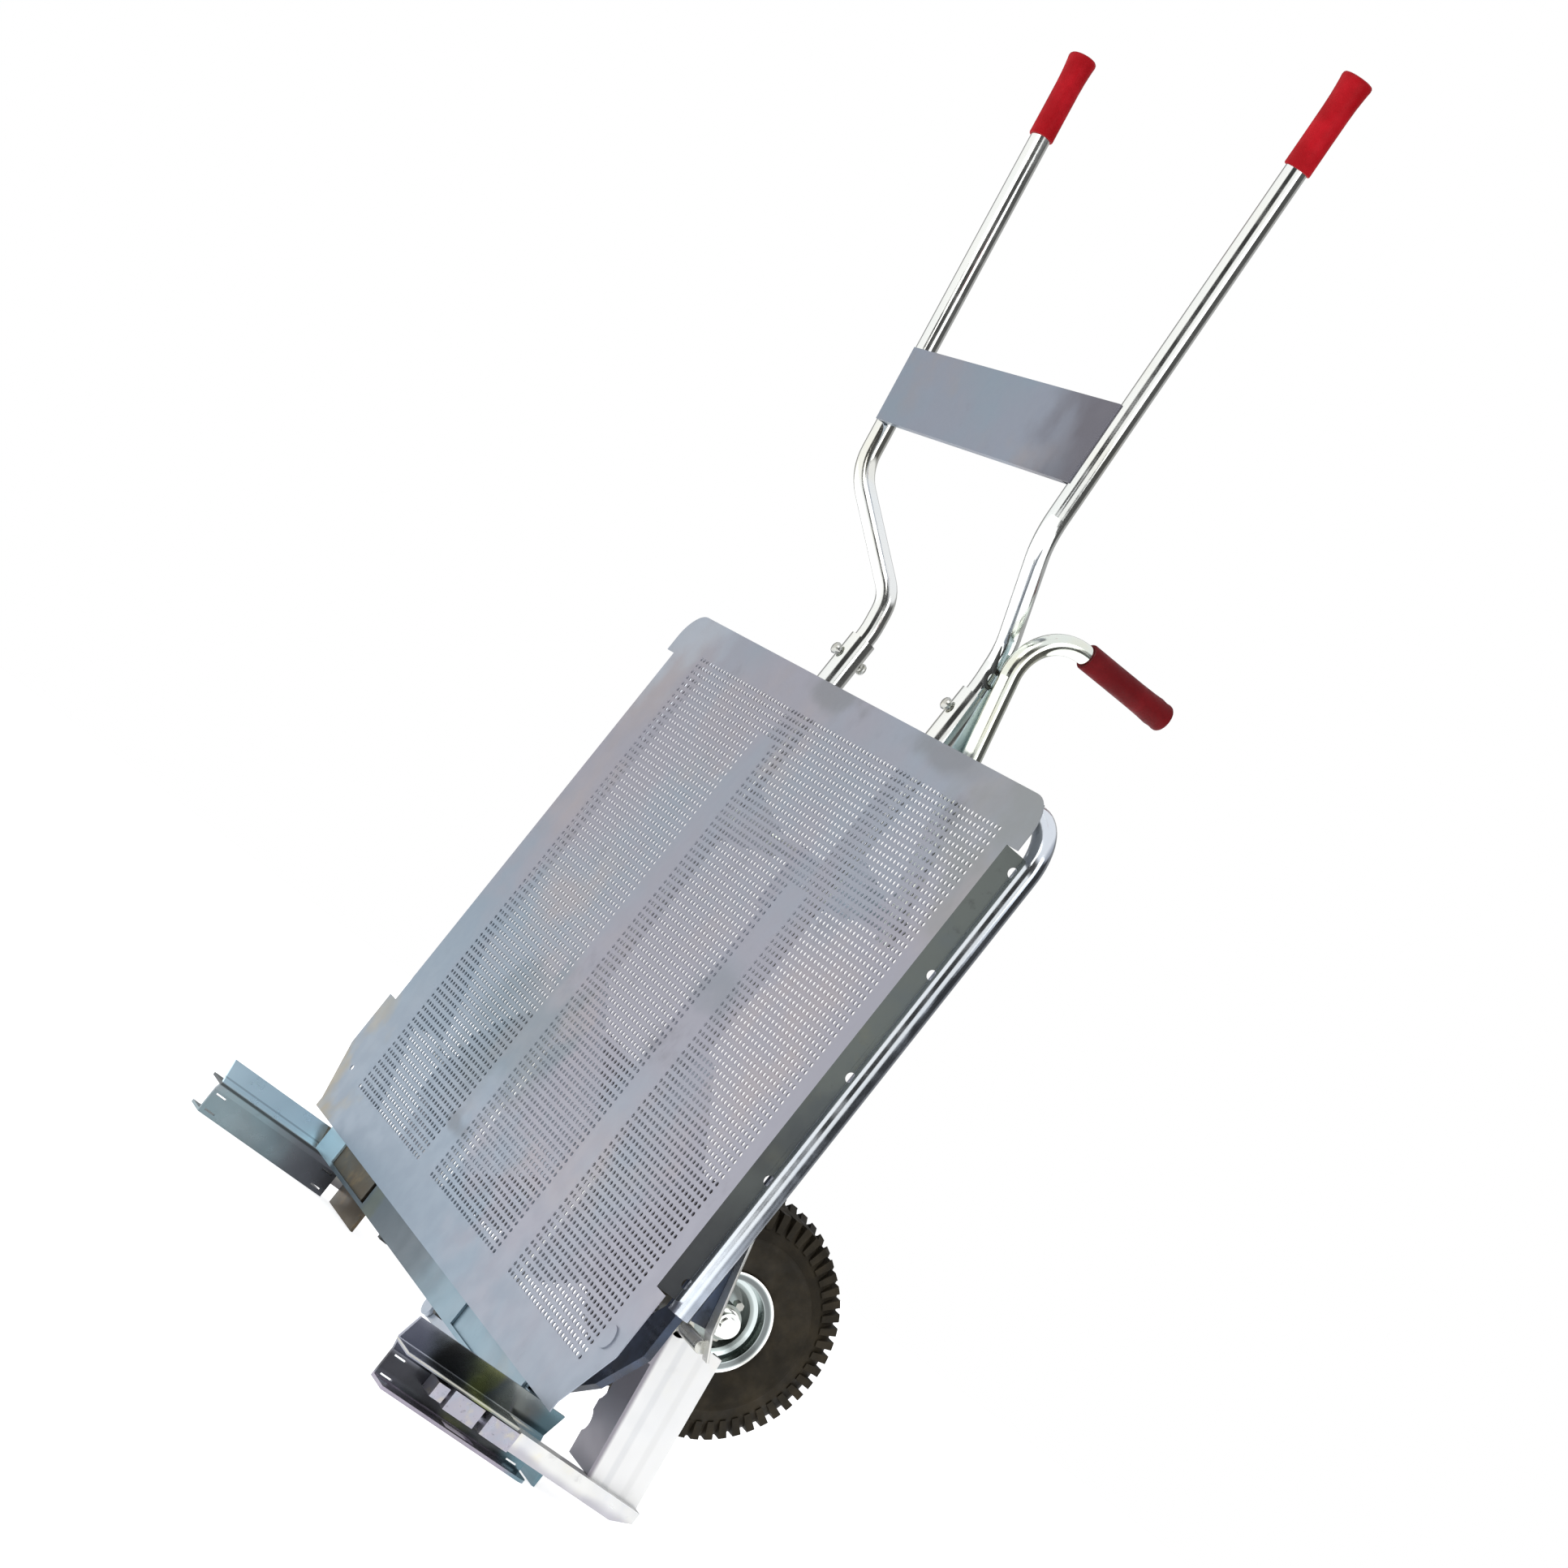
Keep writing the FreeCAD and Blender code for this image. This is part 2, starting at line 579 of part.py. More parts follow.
def tyre():
    half = TYRE_W / 2
    crown = Part.Wire([
        Part.LineSegment(V(-RIM_W / 2 + 3, 0, RIM_R - 8), V(-RIM_W / 2, 0, RIM_R + 1)).toShape(),
        Part.Arc(V(-RIM_W / 2, 0, RIM_R + 1), V(-half, 0, RIM_R + 38), V(-half + 8, 0, WHEEL_R - 12)).toShape(),
        Part.Arc(V(-half + 8, 0, WHEEL_R - 12), V(0, 0, WHEEL_R), V(half - 8, 0, WHEEL_R - 12)).toShape(),
        Part.Arc(V(half - 8, 0, WHEEL_R - 12), V(half, 0, RIM_R + 38), V(RIM_W / 2, 0, RIM_R + 1)).toShape(),
        Part.LineSegment(V(RIM_W / 2, 0, RIM_R + 1), V(RIM_W / 2 - 3, 0, RIM_R - 8)).toShape(),
        Part.LineSegment(V(RIM_W / 2 - 3, 0, RIM_R - 8), V(RIM_W / 2 - 9, 0, RIM_R - 8)).toShape(),
        Part.Arc(V(RIM_W / 2 - 9, 0, RIM_R - 8), V(half - 9, 0, RIM_R + 38), V(half - 18, 0, WHEEL_R - 22)).toShape(),
        Part.Arc(V(half - 18, 0, WHEEL_R - 22), V(0, 0, WHEEL_R - 12), V(-half + 18, 0, WHEEL_R - 22)).toShape(),
        Part.Arc(V(-half + 18, 0, WHEEL_R - 22), V(-half + 9, 0, RIM_R + 38), V(-RIM_W / 2 + 9, 0, RIM_R - 8)).toShape(),
        Part.LineSegment(V(-RIM_W / 2 + 9, 0, RIM_R - 8), V(-RIM_W / 2 + 3, 0, RIM_R - 8)).toShape(),
    ])
    section = Part.Face(crown)
    section.translate(V(WHEEL_X, AXLE_Y, AXLE_Z))
    return section.revolve(V(WHEEL_X, AXLE_Y, AXLE_Z), V(1, 0, 0), 360)


def rim():
    t = RIM_SHEET
    w = RIM_W / 2
    outline = [
        (-w - t, RIM_R), (-w, RIM_R), (-w + 3, RIM_R - 8), (-w + 16, RIM_R - 9), (-w + 20, RIM_WELL_R),
        (w - 20, RIM_WELL_R), (w - 16, RIM_R - 9), (w - 3, RIM_R - 8), (w, RIM_R), (w + t, RIM_R),
        (w + t - 3, RIM_R - 10), (w - 15, RIM_R - 12), (w - 18, RIM_WELL_R - t), (t, RIM_WELL_R - t),
        (t, HUB_R), (HUB_HALF, HUB_R), (HUB_HALF, BEARING_OD), (-HUB_HALF, BEARING_OD), (-HUB_HALF, HUB_R),
        (-t, HUB_R), (-t, RIM_WELL_R - t), (-w + 18, RIM_WELL_R - t), (-w + 15, RIM_R - 12), (-w - t + 3, RIM_R - 10),
    ]
    return revolve_x(outline, WHEEL_X)


def wheel_bearings():
    solids = []
    bore = AXLE_R + RUN_GAP
    for x in (-HUB_HALF, HUB_HALF - BEARING_LONG):
        end = x + BEARING_LONG
        solids.append(revolve_x([(x, bore), (end, bore), (end, BEARING_OD), (x, BEARING_OD)], WHEEL_X))
    return Part.makeCompound(solids)


def rim_bolts():
    solids = []
    for k in range(RIM_BOLT_COUNT):
        turn = 2 * math.pi * (k + 0.5) / RIM_BOLT_COUNT
        cy = AXLE_Y + RIM_BOLT_CIRCLE * math.cos(turn)
        cz = AXLE_Z + RIM_BOLT_CIRCLE * math.sin(turn)
        pts = []
        for i in range(6):
            a = turn + math.pi * i / 3
            pts.append((cy + RIM_BOLT_R * math.cos(a), cz + RIM_BOLT_R * math.sin(a)))
        for x in (WHEEL_X - RIM_SHEET - RIM_BOLT_T, WHEEL_X + RIM_SHEET):
            solids.append(prism_x(pts, x, x + RIM_BOLT_T))
    return Part.makeCompound(solids)


# outer gussets with their guide pins

def gusset():
    x1 = SIDE_X - TUBE_R
    x0 = x1 - GUSSET_T
    nose = GUIDE_Y + GUIDE_BUSH_R + GUSSET_NOSE
    top_y = FRAME_Y + GUSSET_TOP_W
    waist_y = GUIDE_Y - GUSSET_WAIST_IN
    waist_z = GUIDE_Z + GUSSET_WAIST_UP
    outline = [(FRAME_Y, GUSSET_TOP_Z), (top_y, GUSSET_TOP_Z), (waist_y, waist_z), (nose, GUIDE_Z + GUSSET_EDGE),
               (nose, GUIDE_Z - GUSSET_EDGE), (FRAME_Y, GUIDE_Z - GUSSET_EDGE)]
    plate = prism_x(outline, x0, x1)
    rear = [(top_y - GUSSET_RIB_T, GUSSET_TOP_Z), (top_y, GUSSET_TOP_Z), (waist_y, waist_z), (waist_y - GUSSET_RIB_T, waist_z)]
    flange = prism_x(rear, x0 - GUSSET_FLANGE + GUSSET_T, x1)
    bore = rod(GUIDE_R, (x0 - 1, GUIDE_Y, GUIDE_Z), (x1 + 1, GUIDE_Y, GUIDE_Z))
    return plate.fuse(flange).cut(bore)


def guide_pin():
    x1 = SIDE_X - TUBE_R
    pin = rod(GUIDE_R, (GUIDE_INNER_X, GUIDE_Y, GUIDE_Z), (x1 + 3, GUIDE_Y, GUIDE_Z))
    head = rod(GUIDE_R + 4, (x1, GUIDE_Y, GUIDE_Z), (x1 + 5, GUIDE_Y, GUIDE_Z))
    return pin.fuse(head)


# one jaw and all that slides with it

def jaw_inner_face():
    # the side that touches the bricks, as (x, z) from the foot up
    return [(JAW_X, 0), (JAW_X, JAW_CHANNEL_H - JAW_RIDGE_DROP), (JAW_X - JAW_RIDGE, JAW_CHANNEL_H),
            (JAW_X + JAW_FLARE, JAW_TOP)]


def jaw():
    t = JAW_SHEET
    inner = jaw_inner_face()
    lip = [(JAW_X + JAW_FLARE + t, JAW_TOP), (JAW_X - JAW_RIDGE + t + 1, JAW_CHANNEL_H), (JAW_X + t, JAW_CHANNEL_H - JAW_RIDGE_DROP), (JAW_X + t, 0)]
    body = prism_y(inner + lip, JAW_FRONT_Y, JAW_REAR_Y)
    ledge_z = JAW_CHANNEL_H - JAW_RIDGE_DROP + 8
    top_flange = box(JAW_X - 1, JAW_X + JAW_DEPTH, JAW_FRONT_Y, JAW_REAR_Y - 50, ledge_z, ledge_z + t)
    sole = box(JAW_X, JAW_X + JAW_DEPTH, JAW_FRONT_Y, JAW_REAR_Y, 0, t)
    sole = sole.makeFillet(16, [e for e in sole.Edges if e.BoundBox.ZLength > t - 0.1 and e.BoundBox.YMin > JAW_REAR_Y - 1
                               and e.BoundBox.XMin > JAW_X + 1])
    oval = box(JAW_X + 12, JAW_X + 30, JAW_FRONT_Y + 92, JAW_FRONT_Y + 132, -1, t + 1)
    body = body.fuse([top_flange, sole.cut(oval)])
    for y in (JAW_FRONT_Y + SLIT_EDGE, JAW_REAR_Y - SLIT_EDGE - SLIT_L):
        for z in (t + 2, JAW_CHANNEL_H - JAW_RIDGE_DROP - 6):
            body = body.cut(box(JAW_X - 1, JAW_X + t + 1, y, y + SLIT_L, z, z + SLIT_H))
    return body.removeSplitter()


def behind_jaw(y0, y1):
    # all the room on the outer side of the jaw's inner face
    return prism_y(jaw_inner_face() + [(JAW_X + 99, JAW_TOP), (JAW_X + 99, 0)], y0, y1)


def jaw_arm():
    # the square tube that slides in the beam, with a pad where it meets the jaw
    x0 = TIE_END_X - TAB_W
    h = ARM / 2
    tube = square_tube_x(x0, BEAM_HALF + 2, BEAM_Y, BEAM_Z, ARM, BEAM_WALL)
    pad = box(BEAM_HALF + 2, JAW_X + 20, BEAM_Y - h, BEAM_Y + h, BEAM_Z - h, JAW_TOP)
    pad = pad.cut(behind_jaw(-99, 99)).cut(box(0, 999, -99, 99, JAW_TOP, 200))
    tab = box(TIE_END_X - TAB_W / 2, TIE_END_X + TAB_W / 2, BEAM_Y + h - BEAM_WALL, TIE_Y, BEAM_Z - TAB_W / 2, BEAM_Z + TAB_W / 2)
    return tube.fuse([pad, tab]).removeSplitter()


def jaw_tie(sign):
    # flat link between the crank's pin and the arm's tab, above the beam on one side and below on the other
    pin_z = CRANK_Z + (CRANK_R if sign < 0 else -CRANK_R)
    h = TIE_W / 2
    y1 = TIE_Y + TIE_T
    strip = box(0, TIE_END_X + h, TIE_Y, y1, pin_z - h, pin_z + h)
    lo, hi = sorted((pin_z, BEAM_Z))
    riser = box(TIE_END_X - h, TIE_END_X + h, TIE_Y, y1, lo - h, hi + h)
    rise = CRANK_R * (1 - math.cos(math.radians(CRANK_SWING)))
    middle = pin_z + (-rise / 2 if sign < 0 else rise / 2)
    slot_r = CRANK_PIN_R + PIN_SLOT_GAP
    slot_half = rise / 2 + SWING_GAP
    eye = slot_y(0, middle, slot_half, slot_r + TIE_EYE, TIE_Y, y1, "z")
    slot = slot_y(0, middle, slot_half, slot_r, TIE_Y - 1, y1 + 1, "z")
    return side(strip.fuse([riser, eye]).cut(slot).removeSplitter(), sign)


def jaw_bar():
    x0 = JAW_X + BAR_OUT
    h = BAR / 2
    outer = box(x0, x0 + BAR, BAR_FRONT_Y, BAR_REAR_Y, BAR_Z - h, BAR_Z + h)
    k = h - BAR_WALL
    inner = box(x0 + BAR_WALL, x0 + BAR - BAR_WALL, BAR_FRONT_Y + 3, BAR_REAR_Y, BAR_Z - k, BAR_Z + k)
    bevel = prism_x([(BAR_REAR_Y - 26, BAR_Z - h), (BAR_REAR_Y, BAR_Z - h), (BAR_REAR_Y, BAR_Z - h + 10)], x0 - 1, x0 + BAR + 1)
    return outer.cut(inner).cut(bevel)


BLOCK_RUNS = ((-100.0, -84.0, 18.0), (-80.0, -38.0, 24.0), (-28.0, 12.0, 24.0))
BOLT_R = 4.0


def jaw_blocks():
    # clamp blocks in the channel, strung on one threaded rod, ahead of the bar
    x0 = JAW_X + JAW_SHEET
    mid = JAW_X + BAR_OUT + BAR / 2
    solids = []
    for y0, y1, h in BLOCK_RUNS:
        solids.append(box(x0, mid + h / 2, y0, y1, BAR_Z - h / 2 - 2, BAR_Z + h / 2 - 2))
    stud = rod(BOLT_R, (mid, BLOCK_RUNS[0][0], BAR_Z - 2), (mid, BLOCK_RUNS[2][1], BAR_Z - 2))
    return solids[0].fuse(solids[1:] + [stud])


def upright():
    # folded plate between the bar and the guide bush, leaning forward towards its top
    foot_z = BAR_Z + BAR / 2
    lean = UPRIGHT_FOOT_Y - UPRIGHT_TOP_Y
    t = UPRIGHT_T
    face = [(UPRIGHT_FOOT_Y, foot_z), (UPRIGHT_FOOT_Y + UPRIGHT_W, foot_z),
            (UPRIGHT_TOP_Y + UPRIGHT_W, UPRIGHT_TOP), (UPRIGHT_TOP_Y, UPRIGHT_TOP)]
    plate = prism_x(face, UPRIGHT_X - t, UPRIGHT_X)
    front = prism_x([(y, z) for y, z in (face[0], (face[0][0] + t, foot_z), (face[3][0] + t, UPRIGHT_TOP), face[3])],
                    UPRIGHT_X - UPRIGHT_FLANGE, UPRIGHT_X)
    wave = [(UPRIGHT_X - UPRIGHT_FLANGE + 4, 128.0, 22.0), (UPRIGHT_X - UPRIGHT_FLANGE + 2, 84.0, 14.0)]
    for x, z, r in wave:
        front = front.cut(rod(r, (x - r + 6, 60, z), (x - r + 6, 160, z)))
    rear = prism_x([(face[1][0] - t, foot_z), face[1], face[2], (face[2][0] - t, UPRIGHT_TOP)], UPRIGHT_X - UPRIGHT_BACK, UPRIGHT_X)
    bracket = prism_x([(GUIDE_Y - GUIDE_BUSH_R, UPRIGHT_TOP - 40), (GUIDE_Y + GUIDE_BUSH_R, UPRIGHT_TOP - 40),
                       (GUIDE_Y + GUIDE_BUSH_R, GUIDE_Z), (GUIDE_Y - GUIDE_BUSH_R, GUIDE_Z)],
                      UPRIGHT_X - t, UPRIGHT_X)
    body = plate.fuse([front, rear, bracket])
    return body.cut(rod(GUIDE_BUSH_R, (0, GUIDE_Y, GUIDE_Z), (UPRIGHT_X + 9, GUIDE_Y, GUIDE_Z))).removeSplitter()


def guide_bush():
    x0 = UPRIGHT_X - UPRIGHT_FLANGE + 2
    solid = rod(GUIDE_BUSH_R, (x0, GUIDE_Y, GUIDE_Z), (UPRIGHT_X, GUIDE_Y, GUIDE_Z))
    return solid.cut(rod(GUIDE_R + RUN_GAP, (x0, GUIDE_Y, GUIDE_Z), (UPRIGHT_X, GUIDE_Y, GUIDE_Z)))


def stop_plate():
    x1 = JAW_X + BAR_OUT
    return box(x1 - STOP_LONG, x1, STOP_Y, STOP_Y + STOP_T, 0, STOP_H)


# the crank behind the beam

def crank():
    y0 = CRANK_Y
    y1 = CRANK_Y + CRANK_T
    arm_w = 13.0
    plate = rod(CRANK_BOSS_R + 6, (0, y0, CRANK_Z), (0, y1, CRANK_Z))
    tall = box(-arm_w, arm_w, y0, y1, CRANK_Z - CRANK_R, CRANK_Z + CRANK_R)
    ends = [rod(arm_w, (0, y0, CRANK_Z + s * CRANK_R), (0, y1, CRANK_Z + s * CRANK_R)) for s in (-1, 1)]
    level = box(0, ROD_ARM, y0, y1, CRANK_Z - 11, CRANK_Z + 11)
    tip = rod(11, (ROD_ARM, y0, CRANK_Z), (ROD_ARM, y1, CRANK_Z))
    pins = [rod(CRANK_PIN_R, (0, y0, CRANK_Z + s * CRANK_R), (0, TIE_Y + TIE_T + 4, CRANK_Z + s * CRANK_R)) for s in (-1, 1)]
    rod_pin = rod(ROD_PIN_R, (ROD_ARM, y0 - SWING_GAP - ROD_T - 4, CRANK_Z), (ROD_ARM, y1, CRANK_Z))
    body = plate.fuse([tall, level, tip, rod_pin] + ends + pins).removeSplitter()
    return body.cut(rod(CRANK_PIVOT_R + RUN_GAP, (0, y0 - 1, CRANK_Z), (0, y1 + 1, CRANK_Z)))


def crank_pivot():
    foot = rod(CRANK_BOSS_R, (0, BEAM_REAR, CRANK_Z), (0, CRANK_Y - SWING_GAP, CRANK_Z))
    pin = rod(CRANK_PIVOT_R, (0, BEAM_REAR, CRANK_Z), (0, CRANK_Y + CRANK_T + 8, CRANK_Z))
    cap = rod(CRANK_PIVOT_R + 5, (0, CRANK_Y + CRANK_T + SWING_GAP, CRANK_Z), (0, CRANK_Y + CRANK_T + 4, CRANK_Z))
    return foot.fuse([pin, cap]).removeSplitter()


def pull_rod():
    # strip that hangs from the drive arm's pin and holds the crank's outer pin
    y1 = CRANK_Y - SWING_GAP
    y0 = y1 - ROD_T
    pin_y = LEVER_SHAFT_Y - DRIVE_ARM
    top_z = LEVER_SHAFT_Z
    h = ROD_W / 2
    strip = box(ROD_ARM - h, ROD_ARM + h, y0, y1, CRANK_Z - h, top_z - 60)
    shift = ROD_ARM * (1 - math.cos(math.radians(CRANK_SWING)))
    foot = box(ROD_ARM - shift - h, ROD_ARM + h, y0, y1, CRANK_Z - h, CRANK_Z + h)
    low_slot = slot_y(ROD_ARM - shift / 2, CRANK_Z, shift / 2 + SWING_GAP, ROD_PIN_R + PIN_SLOT_GAP, y0 - 1, y1 + 1, "x")
    sway = DRIVE_ARM * (1 - math.cos(math.radians(LEVER_SWING)))
    x0 = ROD_ARM - ROD_T / 2
    head = box(x0, x0 + ROD_T, pin_y - h, max(y1, pin_y + sway + h), top_z - 80, top_z + h)
    slot = rod(ROD_PIN_R + PIN_SLOT_GAP, (x0 - 1, pin_y, top_z), (x0 + ROD_T + 1, pin_y, top_z))
    slot = slot.fuse(rod(ROD_PIN_R + PIN_SLOT_GAP, (x0 - 1, pin_y + sway, top_z), (x0 + ROD_T + 1, pin_y + sway, top_z)))
    slot = slot.fuse(box(x0 - 1, x0 + ROD_T + 1, pin_y, pin_y + sway, top_z - ROD_PIN_R - PIN_SLOT_GAP, top_z + ROD_PIN_R + PIN_SLOT_GAP))
    return strip.fuse([foot, head]).cut(low_slot).cut(slot).removeSplitter()


# the hand lever

def lever_points():
    corner = (LEVER_X, *LEVER_CORNER)
    shaft = (LEVER_X, LEVER_SHAFT_Y, LEVER_SHAFT_Z)
    length = (V(*corner) - V(*shaft)).Length
    return [along(corner, shaft, 1 + LEVER_HEEL / length), corner, (LEVER_X, *LEVER_END)]


def shaft_core():
    half = RAIL_X + BEARING_T / 2 + SHAFT_OUT
    end = LEVER_X + LEVER_R + SHAFT_OUT
    return rod(LEVER_SHAFT_R, (-half, LEVER_SHAFT_Y, LEVER_SHAFT_Z), (end, LEVER_SHAFT_Y, LEVER_SHAFT_Z))


def lever_tube():
    return bent_tube(lever_points(), LEVER_BEND_R, LEVER_R, LEVER_WALL).cut(shaft_core())


def lever_shaft():
    # the shaft, with a collar on the inner side of each bearing
    inner = RAIL_X - BEARING_T / 2 - SWING_GAP
    collars = []
    for sign in (-1, 1):
        near = (sign * inner, LEVER_SHAFT_Y, LEVER_SHAFT_Z)
        far = (sign * (inner - COLLAR_LONG), LEVER_SHAFT_Y, LEVER_SHAFT_Z)
        collars.append(rod(LEVER_SHAFT_R + 5, near, far))
    return shaft_core().fuse(collars).removeSplitter()


def drive_arm():
    # crank arm on the shaft, pointing at the panel, with the pin that lifts the pull rod
    x1 = ROD_ARM - ROD_T / 2 - SWING_GAP
    x0 = x1 - 8
    boss = rod(LEVER_SHAFT_R + 8, (x0 - 6, LEVER_SHAFT_Y, LEVER_SHAFT_Z), (x1, LEVER_SHAFT_Y, LEVER_SHAFT_Z))
    pin_y = LEVER_SHAFT_Y - DRIVE_ARM
    bar = box(x0, x1, pin_y, LEVER_SHAFT_Y, LEVER_SHAFT_Z - 10, LEVER_SHAFT_Z + 10)
    eye = rod(10, (x0, pin_y, LEVER_SHAFT_Z), (x1, pin_y, LEVER_SHAFT_Z))
    pin = rod(ROD_PIN_R, (x0, pin_y, LEVER_SHAFT_Z), (ROD_ARM + ROD_T / 2 + 5, pin_y, LEVER_SHAFT_Z))
    body = boss.fuse([bar, eye, pin]).removeSplitter()
    return body.cut(rod(LEVER_SHAFT_R, (x0 - 9, LEVER_SHAFT_Y, LEVER_SHAFT_Z), (x1 + 9, LEVER_SHAFT_Y, LEVER_SHAFT_Z)))


def shaft_bearing():
    # plate on the back of a rail with the bore that carries the lever's shaft
    x0 = RAIL_X - BEARING_T / 2
    x1 = RAIL_X + BEARING_T / 2
    reach = RAIL_Y + RAIL_R - 2
    plate = prism_x([(reach, LEVER_SHAFT_Z - 40), (reach, LEVER_SHAFT_Z + 40), (LEVER_SHAFT_Y, LEVER_SHAFT_Z + BEARING_R),
                     (LEVER_SHAFT_Y, LEVER_SHAFT_Z - BEARING_R)], x0, x1)
    eye = rod(BEARING_R, (x0, LEVER_SHAFT_Y, LEVER_SHAFT_Z), (x1, LEVER_SHAFT_Y, LEVER_SHAFT_Z))
    body = plate.fuse(eye).cut(rail_core())
    bore = rod(LEVER_SHAFT_R + RUN_GAP, (x0 - 1, LEVER_SHAFT_Y, LEVER_SHAFT_Z), (x1 + 1, LEVER_SHAFT_Y, LEVER_SHAFT_Z))
    return body.cut(bore).removeSplitter()


def lever_grip():
    corner = (LEVER_X, *LEVER_CORNER)
    end = (LEVER_X, *LEVER_END)
    length = (V(*end) - V(*corner)).Length
    start = along(corner, end, 1 - LEVER_GRIP_LONG / length)
    heading = (V(*end) - V(*corner)).normalize()
    outer = Part.makeCylinder(LEVER_GRIP_R, LEVER_GRIP_LONG + GRIP_CAP, V(*start), heading)
    return outer.cut(Part.makeCylinder(LEVER_R, LEVER_GRIP_LONG, V(*start), heading))


def lever_guide():
    # upright plate beside the lever, welded to the back of the top tube
    x1 = LEVER_X - LEVER_R - GUIDE_PLATE_GAP
    x0 = x1 - GUIDE_PLATE_T
    z = TOP_TUBE_Z
    outline = [
        (FRAME_Y - 10, z + GUIDE_PLATE_NECK),
        (FRAME_Y - 18, z + GUIDE_PLATE_HIGH - 6),
        (FRAME_Y + 4, z + GUIDE_PLATE_HIGH),
        (FRAME_Y + 16, z + GUIDE_PLATE_NECK),
        (FRAME_Y + GUIDE_PLATE_DEEP, z + 6),
        (FRAME_Y + GUIDE_PLATE_DEEP, z - GUIDE_PLATE_LOW),
        (FRAME_Y + 4, z - GUIDE_PLATE_LOW),
        (FRAME_Y + 4, z + 6),
    ]
    window = [
        (FRAME_Y - 5, z + GUIDE_PLATE_NECK + 8),
        (FRAME_Y, z + GUIDE_PLATE_HIGH - 16),
        (FRAME_Y + 13, z + GUIDE_PLATE_NECK - 35),
        (FRAME_Y + 6, z + GUIDE_PLATE_NECK - 38),
    ]
    plate = prism_x(outline, x0, x1).cut(prism_x(window, x0 - 1, x1 + 1))
    return plate.cut(rod(TUBE_R, (x0 - 1, FRAME_Y, z), (x1 + 1, FRAME_Y, z)))


# handles

def handle_points():
    return [(RAIL_X, RAIL_Y, HANDLE_FOOT_Z), (RAIL_X, RAIL_Y, HANDLE_STRAIGHT_Z), HANDLE_KNEE, HANDLE_BEND, HANDLE_TOP]


def handle():
    pts = handle_points()
    low = bent_path_mixed(pts)
    return sweep(low, TUBE_R).cut(sweep(low, TUBE_R - TUBE_WALL))


def bent_path_mixed(points):
    # as bent_path, but each bend is as wide as its shorter run allows, up to one radius
    pts = [V(*p) for p in points]
    edges = []
    start = pts[0]
    for i in range(1, len(pts) - 1):
        into = (pts[i] - pts[i - 1]).normalize()
        out = (pts[i + 1] - pts[i]).normalize()
        turn = into.getAngle(out)
        room = 0.42 * min((pts[i] - pts[i - 1]).Length, (pts[i + 1] - pts[i]).Length)
        radius = min(HANDLE_BEND_R / max(turn, 0.4), room / math.tan(turn / 2))
        reach = radius * math.tan(turn / 2)
        a = pts[i] - into * reach
        b = pts[i] + out * reach
        inward = (out - into).normalize()
        middle = pts[i] + inward * (radius / math.cos(turn / 2) - radius)
        edges.append(Part.LineSegment(start, a).toShape())
        edges.append(Part.Arc(a, middle, b).toShape())
        start = b
    edges.append(Part.LineSegment(start, pts[-1]).toShape())
    return Part.Wire(edges)


def handle_grip():
    end = V(*HANDLE_TOP)
    heading = (end - V(*HANDLE_BEND)).normalize()
    body = GRIP_LONG - GRIP_CAP
    start = end - heading * body
    sleeve = Part.makeCylinder(GRIP_R, GRIP_LONG, start, heading)
    flare = Part.makeCone(GRIP_R, GRIP_END_R, GRIP_FLARE, start + heading * (body - GRIP_FLARE), heading)
    tip = Part.makeCylinder(GRIP_END_R, GRIP_CAP, start + heading * body, heading)
    return sleeve.fuse([flare, tip]).cut(Part.makeCylinder(TUBE_R, body, start, heading))


def handle_centre(z):
    t = (z - HANDLE_BEND[2]) / (HANDLE_TOP[2] - HANDLE_BEND[2])
    return along(HANDLE_BEND, HANDLE_TOP, t)


def cross_plate():
    # plate welded to the front of both handles, with a narrow lip folded back at its foot
    low = handle_centre(CROSS_LOW_Z)
    high = handle_centre(CROSS_HIGH_Z)
    rise = V(0, high[1] - low[1], high[2] - low[2])
    normal = V(0, -rise.z, rise.y).normalize()
    offset = normal * (TUBE_R + CROSS_T)
    corners = [V(-low[0], low[1], low[2]), V(low[0], low[1], low[2]), V(high[0], high[1], high[2]), V(-high[0], high[1], high[2])]
    corners = [c + offset for c in corners]
    plate = Part.Face(Part.makePolygon(corners + corners[:1])).extrude(normal * -CROSS_T)
    inset = low[0] - TUBE_R - 6
    up = rise.normalize()
    base = V(-inset, low[1], low[2]) + offset
    lip = Part.Face(Part.makePolygon([base, base + V(2 * inset, 0, 0), base + V(2 * inset, 0, 0) + up * CROSS_T, base + up * CROSS_T, base]))
    lip = lip.extrude(normal * -CROSS_LIP)
    return plate.fuse(lip).removeSplitter()


